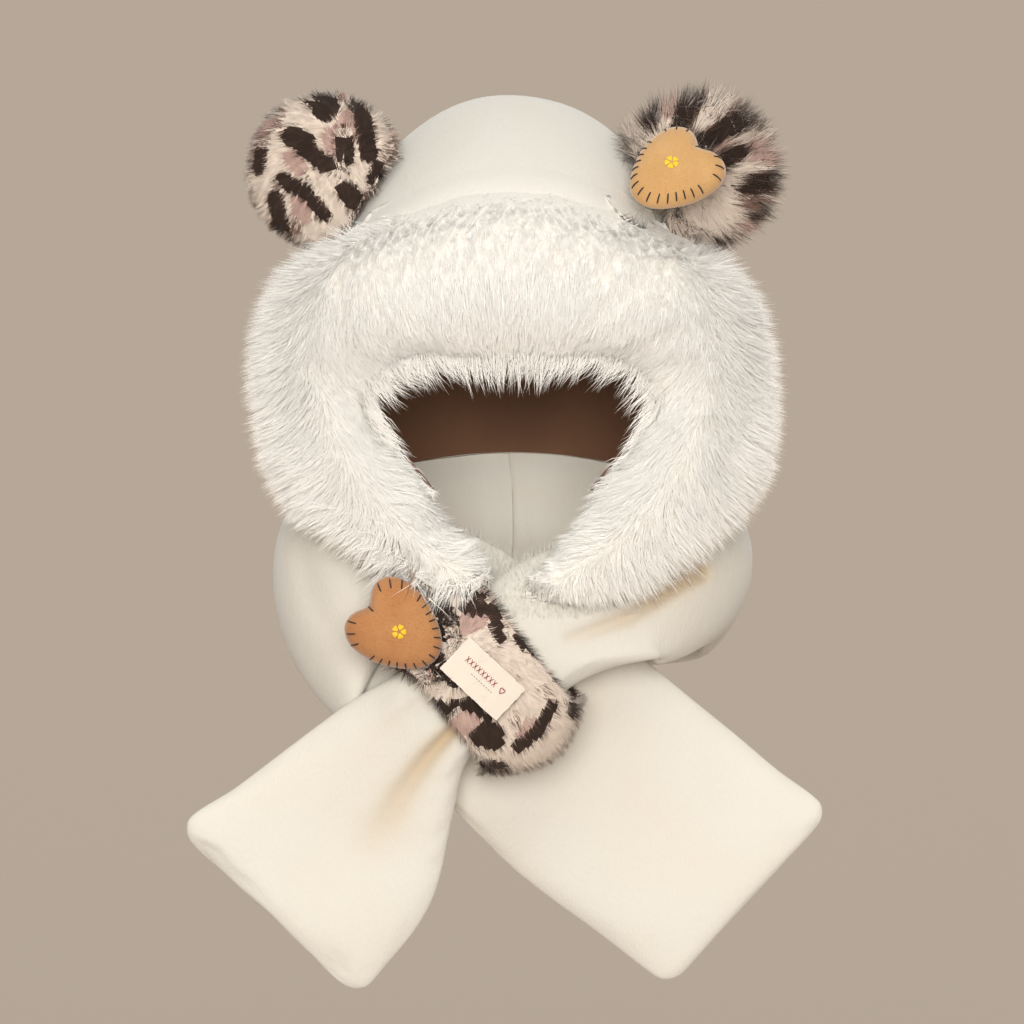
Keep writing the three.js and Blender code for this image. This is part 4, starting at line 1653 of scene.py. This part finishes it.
@dataclass
class SpottedFur:
    """A form in spotted fur: its underfur and its hairs.

    Args:
        node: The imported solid.
        name: What the piece is called.
        print_on: Its leopard print.
        rounding: How often its packed form is smoothed.
        hairs: How many hairs it has.
        length: A hair's usual length.
        depth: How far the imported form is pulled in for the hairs.
        centre: The place of the picture that the hairs are combed away from.
        drift: The way that they are all combed besides, across and up.
        lean: How far they lean, in degrees.
        seed: Which scatter of all the hairs have.
        end: Where an end is rounded, which way it lies and half its width, if one is.
        lie: How the hairs lie.
    """

    node: str
    name: str
    print_on: LeopardPrint
    rounding: int
    hairs: int
    length: float
    depth: float
    centre: Pair
    drift: Pair
    lean: float
    seed: int
    end: tuple[Pair, Pair, float] | None = None
    lie: Lie = Lie(scatter=0.15, loose=0.08, droop=0.0, bend=0.25, upper_loose=0.1)

    def comb(self, roots: np.ndarray, normals: np.ndarray, random: Random) -> Growth:
        """Combs the hairs away from the centre.

        Args:
            roots: Their roots.
            normals: The directions that the underfur faces there.
            random: Where chance comes from.

        Returns:
            How they grow.
        """
        seen = PICTURE.seen(roots) - np.array(self.centre)
        outwards = unit(np.column_stack([seen[:, 0], np.zeros(len(seen)), -seen[:, 1]]))
        tufts = ripples(roots, 0.014, self.seed)
        heading = outwards + tufts * 0.45 + np.array([self.drift[0], 0.0, self.drift[1]])
        angle = np.radians(self.lean) + random.normal(0, self.lie.scatter, len(roots))
        growth = self.lie.comb(normals, heading, angle, random)
        growth.length = self.length * random.uniform(0.6, 1.1, len(roots))
        return gathered(roots, growth, 0.006, 0.35, random)

    def build(self, neighbours: Sequence[Piece]) -> Piece:
        """Makes the underfur and the hairs.

        Args:
            neighbours: The pieces that no hair enters.

        Returns:
            The underfur.
        """
        materials = [SPOTTED_HAIR[tone].material() for tone in Tone]
        base = soft_copy(self.node, self.name, 2, self.rounding)
        if self.end:
            round_end(base, *self.end)
        pull_in(base, self.depth)
        even_out(base, 3)
        base.data.shade_smooth()
        count = len(base.data.polygons)
        centres, faces = np.empty(count * 3), np.empty(count * 3)
        base.data.polygons.foreach_get("center", centres)
        base.data.polygons.foreach_get("normal", faces)
        tones = self.print_on.tones(centres.reshape(-1, 3), faces.reshape(-1, 3))
        tones[tones == Tone.BROWN.value] = Tone.CREAM.value
        base.data.polygons.foreach_set("material_index", tones.astype(np.int32))
        dress(base, *materials)
        seat(base, Slot.SPOTTED_FUR, self.node)
        random = np.random.default_rng(self.seed)
        roots, normals = scattered(base.data, int(self.hairs * 1.4), random)
        growth = self.comb(roots, normals, random)
        chosen = np.flatnonzero(growth.clear(roots, neighbours))[: self.hairs]
        part = growth.of(chosen)
        places = roots[chosen] + part.first * part.length[:, None] * 0.3
        places += random.normal(0, 0.0007, places.shape)
        tones = self.print_on.tones(places, normals[chosen], border=1.6)
        coat = Coat(self.name + "_fur", 0.00045, bent=False)
        hairs = coat.grow(roots[chosen], normals[chosen], part, tones)
        dress(hairs, *materials)
        seat(hairs, Slot.SPOTTED_FUR)
        return base


@dataclass
class CollarNap:
    """The longer nap of the scarf's upper edges where they meet under the chin.

    Args:
        hairs: How many hairs grow on each strip.
        length: A hair's usual length.
        reach: How far from the middle they grow.
        front: The depth in front of which they grow.
        lowest: The height under which none grow.
    """

    hairs: int = 4600
    length: float = 0.008
    reach: float = 0.075
    front: float = -0.05
    lowest: float = -0.30

    def build(self, strips: Sequence[Piece], neighbours: Sequence[Piece]) -> None:
        """Makes the nap of each strip.

        Args:
            strips: The scarf's strips.
            neighbours: The pieces that no hair enters.
        """
        random = np.random.default_rng(41)
        material = SCARF_PLUSH_PAINTED_LIGHTER.material()

        def near_chin(points: np.ndarray, normals: np.ndarray) -> np.ndarray:
            """How densely hairs grow under the chin."""
            close = (np.abs(points[:, 0]) < self.reach) & (points[:, 1] < self.front)
            return (close & (points[:, 2] > self.lowest) & (normals[:, 2] > -0.1)).astype(float)

        for strip in strips:
            roots, normals = scattered(strip.data, self.hairs, random, near_chin)
            heading = -DOWN + ripples(roots, 0.012, 42) * 0.4
            angle = np.radians(38) + random.normal(0, 0.2, self.hairs)
            along = unit(leaning(normals, heading, angle) + random.normal(0, 0.1, (self.hairs, 3)))
            growth = Growth(along, along, self.length * random.uniform(0.5, 1.1, self.hairs))
            free = np.flatnonzero(growth.clear(roots, neighbours))
            coat = Coat(strip.name.replace("scarf_strip", "collar_nap"), 0.00036, bent=False)
            ahead = unit(normals[free] + np.array([0.0, -1.5, 0.5]))
            nap = coat.grow(roots[free], normals[free], growth.of(free), shaded=ahead)
            dress(nap, material)
            seat(nap, Slot.PLUSH)


@dataclass
class Thread:
    """Threads of one colour, each laid along its own points, with thinner ends.

    Args:
        name: The piece's name.
        radius: Half a thread's thickness.
        ends: The share of it at a thread's ends.
        courses: The threads' points.
    """

    name: str
    radius: float
    ends: float = 0.55
    courses: list[list[Vector]] = field(default_factory=list)

    def build(self, material: bpy.types.Material, slot: Slot) -> Piece:
        """Makes the threads as one mesh.

        Args:
            material: Their material.
            slot: The record's material slot they belong to.

        Returns:
            The piece.
        """
        curve = bpy.data.curves.new(self.name, "CURVE")
        curve.dimensions = "3D"
        curve.bevel_depth = self.radius
        curve.bevel_resolution = 1
        curve.use_fill_caps = True
        for course in self.courses:
            spline = curve.splines.new("POLY")
            spline.points.add(len(course) - 1)
            for i, (point, place) in enumerate(zip(spline.points, course)):
                point.co = (*place, 1.0)
                point.radius = self.ends if i in (0, len(course) - 1) else 1.0
        holder = bpy.data.objects.new(self.name + "_curve", curve)
        bpy.context.scene.collection.objects.link(holder)
        graph = bpy.context.evaluated_depsgraph_get()
        mesh = bpy.data.meshes.new_from_object(holder.evaluated_get(graph), depsgraph=graph)
        bpy.data.objects.remove(holder)
        mesh.name = self.name
        mesh.shade_smooth()
        mesh.materials.clear()
        piece = linked(self.name, mesh)
        dress(piece, material)
        seat(piece, slot)
        return piece


@dataclass
class Charm:
    """A stuffed heart with blanket stitches round its front and a small embroidered flower.

    Args:
        node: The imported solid.
        name: What the piece is called.
        tilt: Its turn in the front plane, in degrees.
        lean: How its lower side comes forward, in degrees.
        finish: Its cloth.
        pressure: The filling's pressure.
        most: The furthest that the filling moves a point.
        stitches: How many stitches go round it.
        stitch: The stitches' points, as shares of the way out and heights over the front.
        petal: The threads' turns about a petal's middle.
        petal_stitch: Their points, as shares of that turn, ways out and heights over the front.
    """

    node: str
    name: str
    tilt: float
    lean: float
    finish: FeltFinish
    pressure: float = 4.0
    most: float = 0.0022
    stitches: int = 26
    stitch: tuple[Pair, ...] = (
        (0.79, -0.0004), (0.82, 0.0003), (0.88, 0.0004), (0.94, 0.0003), (0.965, -0.0003),
    )
    petal: tuple[float, ...] = (-0.34, -0.12, 0.12, 0.34)
    petal_stitch: tuple[tuple[float, float, float], ...] = (
        (0.3, 0.0012, 0.0002), (1.0, 0.0028, 0.0006), (0.9, 0.0042, 0.0001),
    )

    def turned(self) -> Matrix:
        """Its turn from upright to its own place."""
        lean = Matrix.Rotation(math.radians(self.lean), 4, "X")
        return lean @ Matrix.Rotation(math.radians(-self.tilt), 4, "Y")

    def build(self) -> Piece:
        """Makes the heart.

        Returns:
            The stuffed piece.
        """
        heart = soft_copy(self.node, self.name, 2)
        puff_up(heart, self.pressure, self.most)
        even_out(heart, 1)
        heart.data.shade_smooth()
        dress(heart, self.finish.material())
        seat(heart, Slot.FELT, self.node)
        self.sew(heart)
        return heart

    def sew(self, heart: Piece) -> None:
        """Adds the stitches and the flower to the heart's front.

        Args:
            heart: The stuffed piece.
        """
        turn = self.turned()
        back = turn.inverted()
        local = np.array([back @ v.co for v in heart.data.vertices])
        middle = Vector((local.min(axis=0) + local.max(axis=0)) / 2)
        reach = np.linalg.norm(local[:, [0, 2]] - np.array([middle.x, middle.z]), axis=1)
        around = np.arctan2(local[:, 2] - middle.z, local[:, 0] - middle.x)
        tree = tree_of(heart)

        def edge(angle: float) -> float:
            """How far the heart reaches from its middle at an angle."""
            off = np.abs((around - angle + math.pi) % (2 * math.pi) - math.pi)
            return float(reach[off < 0.12].max())

        def on_front(angle: float, far: float, raised: float) -> Vector | None:
            """Finds a place on the heart's front.

            Args:
                angle: The angle at which it lies.
                far: How far from the middle.
                raised: How far over the front.

            Returns:
                The place, or None beside the heart.
            """
            start = middle + Vector((math.cos(angle) * far, -0.1, math.sin(angle) * far))
            heading = (turn @ Vector((0, 1, 0))).normalized()
            where, normal, _, _ = tree.ray_cast(turn @ start, heading)
            return None if where is None else where + normal * raised

        stitches = Thread(self.name + "_stitches", 0.0005)
        for i in range(self.stitches):
            angle = 2 * math.pi * (i + 0.5) / self.stitches
            far = edge(angle)
            course = [on_front(angle, far * share, raised) for share, raised in self.stitch]
            if None not in course:
                stitches.courses.append(course)
        stitches.build(BROWN_THREAD.material(), Slot.FELT)
        flower = Thread(self.name + "_flower", 0.0007)
        for petal in range(5):
            angle = 2 * math.pi * petal / 5 + math.pi / 2
            for side in self.petal:
                places = [(angle + side * near, far, raised) for near, far, raised in self.petal_stitch]
                course = [on_front(*place) for place in places]
                if None not in course:
                    flower.courses.append(course)
        flower.build(YELLOW_THREAD.material(), Slot.FELT)


@dataclass
class Label:
    """The woven label with a generic row of small crosses.

    Args:
        length: Its length.
        breadth: Its breadth.
        thick: Its thickness.
        bend: How far its ends lie behind its middle.
        row: The height of the row of crosses on it, as a share of half its breadth.
        line: The height of the dashed line.
    """

    length: float = 0.045
    breadth: float = 0.025
    thick: float = 0.0009
    bend: float = 0.0014
    row: float = 0.18
    line: float = -0.22

    def place(self, across: float, along: float, raised: float) -> Vector:
        """A place on the label's front.

        Args:
            across: From -1 to 1 along its length.
            along: From -1 to 1 over its breadth, upwards.
            raised: How far over its front.

        Returns:
            The place in the frame.
        """
        low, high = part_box("label")
        middle = Vector(((low.x + high.x) / 2, low.y + self.thick / 2, (low.z + high.z) / 2))
        depth = self.bend * across**2 - self.thick / 2 - raised
        turn = Matrix.Rotation(math.radians(-LABEL_TILT), 3, "Y")
        return middle + turn @ Vector((across * self.length / 2, depth, along * self.breadth / 2))

    def build(self) -> Piece:
        """Makes the label and its stitching.

        Returns:
            The tape.
        """
        work = bmesh.new()
        bmesh.ops.create_grid(work, x_segments=30, y_segments=16, size=1.0)
        random = np.random.default_rng(9)
        for vert in work.verts:
            across, along = vert.co.x, vert.co.y
            fray = 1 + (random.uniform(-0.012, 0.012) if max(abs(across), abs(along)) > 0.99 else 0)
            vert.co = self.place(across * fray, along * fray, 0.0002 * math.sin(9 * across) * along)
        bmesh.ops.solidify(work, geom=list(work.faces), thickness=self.thick)
        bmesh.ops.recalc_face_normals(work, faces=work.faces)
        # Solidify adds the faces of the edge in a chance order, so they are put in an order of their own.
        work.verts.index_update()
        work.faces.sort(key=rank)
        mesh = bpy.data.meshes.new("label_tape")
        work.to_mesh(mesh)
        work.free()
        tape = linked("label_tape", mesh)
        dress(tape, COTTON_TAPE.material())
        seat(tape, Slot.LABEL, "label")
        self.sew()
        return tape

    def sew(self) -> None:
        """Adds the row of crosses, the heart at its end and the dashed line."""
        crosses = Thread("label_crosses", 0.0003)
        raised = 0.0002
        for i in range(8):
            middle = -0.62 + i * 0.135
            for lean in (-1, 1):
                arms = [(middle + step * 0.045, self.row + step * lean * 0.15) for step in (-1, 0, 1)]
                crosses.courses.append([self.place(across, along, raised) for across, along in arms])
        heart = []
        for i in range(13):
            t = 2 * math.pi * i / 12
            x = 16 * math.sin(t) ** 3
            z = 13 * math.cos(t) - 5 * math.cos(2 * t) - 2 * math.cos(3 * t) - math.cos(4 * t)
            heart.append(self.place(0.6 + x * 0.0045, self.row + z * 0.0105, raised))
        crosses.courses.append(heart)
        crosses.build(RED_THREAD.material(), Slot.LABEL)
        dashes = Thread("label_dashes", 0.0002)
        for i in range(9):
            start = -0.3 + i * 0.085
            dashes.courses.append([self.place(start + step, self.line, 0.0001) for step in (0, 0.025, 0.05)])
        dashes.build(BROWN_THREAD.material(), Slot.LABEL)


@dataclass
class Studio:
    """The plain floor, the light and the camera.

    Args:
        floor: The floor's height.
        spread: Half its side.
        sky: The strength of the light from all round.
        key: The strength of the main light.
        top: The strength of the light from above.
        back: The strength of the light from behind.
    """

    floor: float = -0.9
    spread: float = 60.0
    sky: float = 0.42
    key: float = 3.02
    top: float = 0.8
    back: float = 0.9

    def build(self) -> None:
        """Makes them."""
        work = bmesh.new()
        bmesh.ops.create_circle(work, cap_ends=True, segments=64, radius=self.spread)
        bmesh.ops.translate(work, verts=work.verts, vec=(0, 0, self.floor))
        mesh = bpy.data.meshes.new("floor")
        work.to_mesh(mesh)
        work.free()
        ground = linked("floor", mesh)
        dress(ground, STUDIO_PAPER.material())
        world = bpy.data.worlds.new("studio")
        world.use_nodes = True
        sky = world.node_tree.nodes["Background"]
        sky.inputs["Color"].default_value = linear((255, 254, 251))
        sky.inputs["Strength"].default_value = self.sky
        bpy.context.scene.world = world
        self.lamp("key", self.key, (-1.0, 12.0), 30.0)
        self.lamp("top", self.top, (0.0, 75.0), 60.0)
        self.lamp("back", self.back, (165.0, 28.0), 60.0)
        bpy.context.scene.view_settings.view_transform = "Standard"
        PICTURE.camera()

    def lamp(self, name: str, strength: float, side: Pair, softness: float) -> None:
        """Adds a far soft lamp.

        Args:
            name: Its name.
            strength: Its strength.
            side: Its azimuth from the front and its elevation, in degrees.
            softness: How wide it is seen, in degrees.
        """
        data = bpy.data.lights.new(name, "SUN")
        data.energy = strength
        data.angle = math.radians(softness)
        data.color = (1.0, 0.99, 0.97)
        lamp = bpy.data.objects.new(name, data)
        bpy.context.scene.collection.objects.link(lamp)
        azimuth, elevation = (math.radians(a) for a in side)
        level = math.cos(elevation)
        heading = Vector((-math.sin(azimuth) * level, math.cos(azimuth) * level, -math.sin(elevation)))
        lamp.rotation_euler = heading.to_track_quat("-Z", "Y").to_euler()


def main() -> None:
    """Builds every piece in order."""
    Studio().build()
    Hood().build()
    Scarf().build()
    left_charm = Charm("charm_left", "heart_on_loop", tilt=52.0, lean=0.0, finish=DARK_FELT).build()
    right_charm = Charm("charm_right", "heart_on_ear", tilt=-48.0, lean=-38.0, finish=LIGHT_FELT).build()
    tape = Label().build()
    left_ear = SpottedFur(
        "ear_left", "ear_left_pad", LeopardPrint(LEFT_EAR_MARKS, seed=5), rounding=8, hairs=22000,
        length=0.0066, depth=0.003, centre=(335, 165), drift=(-0.5, -0.6), lean=45.0, seed=31,
    ).build([])
    right_ear = SpottedFur(
        "ear_right", "ear_right_pad", LeopardPrint(RIGHT_EAR_MARKS, seed=6), rounding=8, hairs=19500,
        length=0.017, depth=0.007, centre=(668, 180), drift=(0.0, 0.0), lean=54.0, seed=32,
    ).build([right_charm])
    loop = SpottedFur(
        "scarf_loop", "loop", LeopardPrint(LOOP_MARKS, seed=7), rounding=30, hairs=24000,
        length=0.008, depth=0.0105, centre=(470, 650), drift=(0.5, -0.6), lean=46.0, seed=33,
        end=((512, 705), (0.65, 0.76), 66.0),
    ).build([left_charm, tape])
    strips = [bpy.data.objects["scarf_strip_left"], bpy.data.objects["scarf_strip_right"]]
    CollarNap().build(strips, [loop, left_charm, right_charm])
    hood = bpy.data.objects["hood"]
    Trim().build(hood, [left_ear, right_ear, left_charm, right_charm, loop, *strips])


if __name__ == "__main__":
    main()
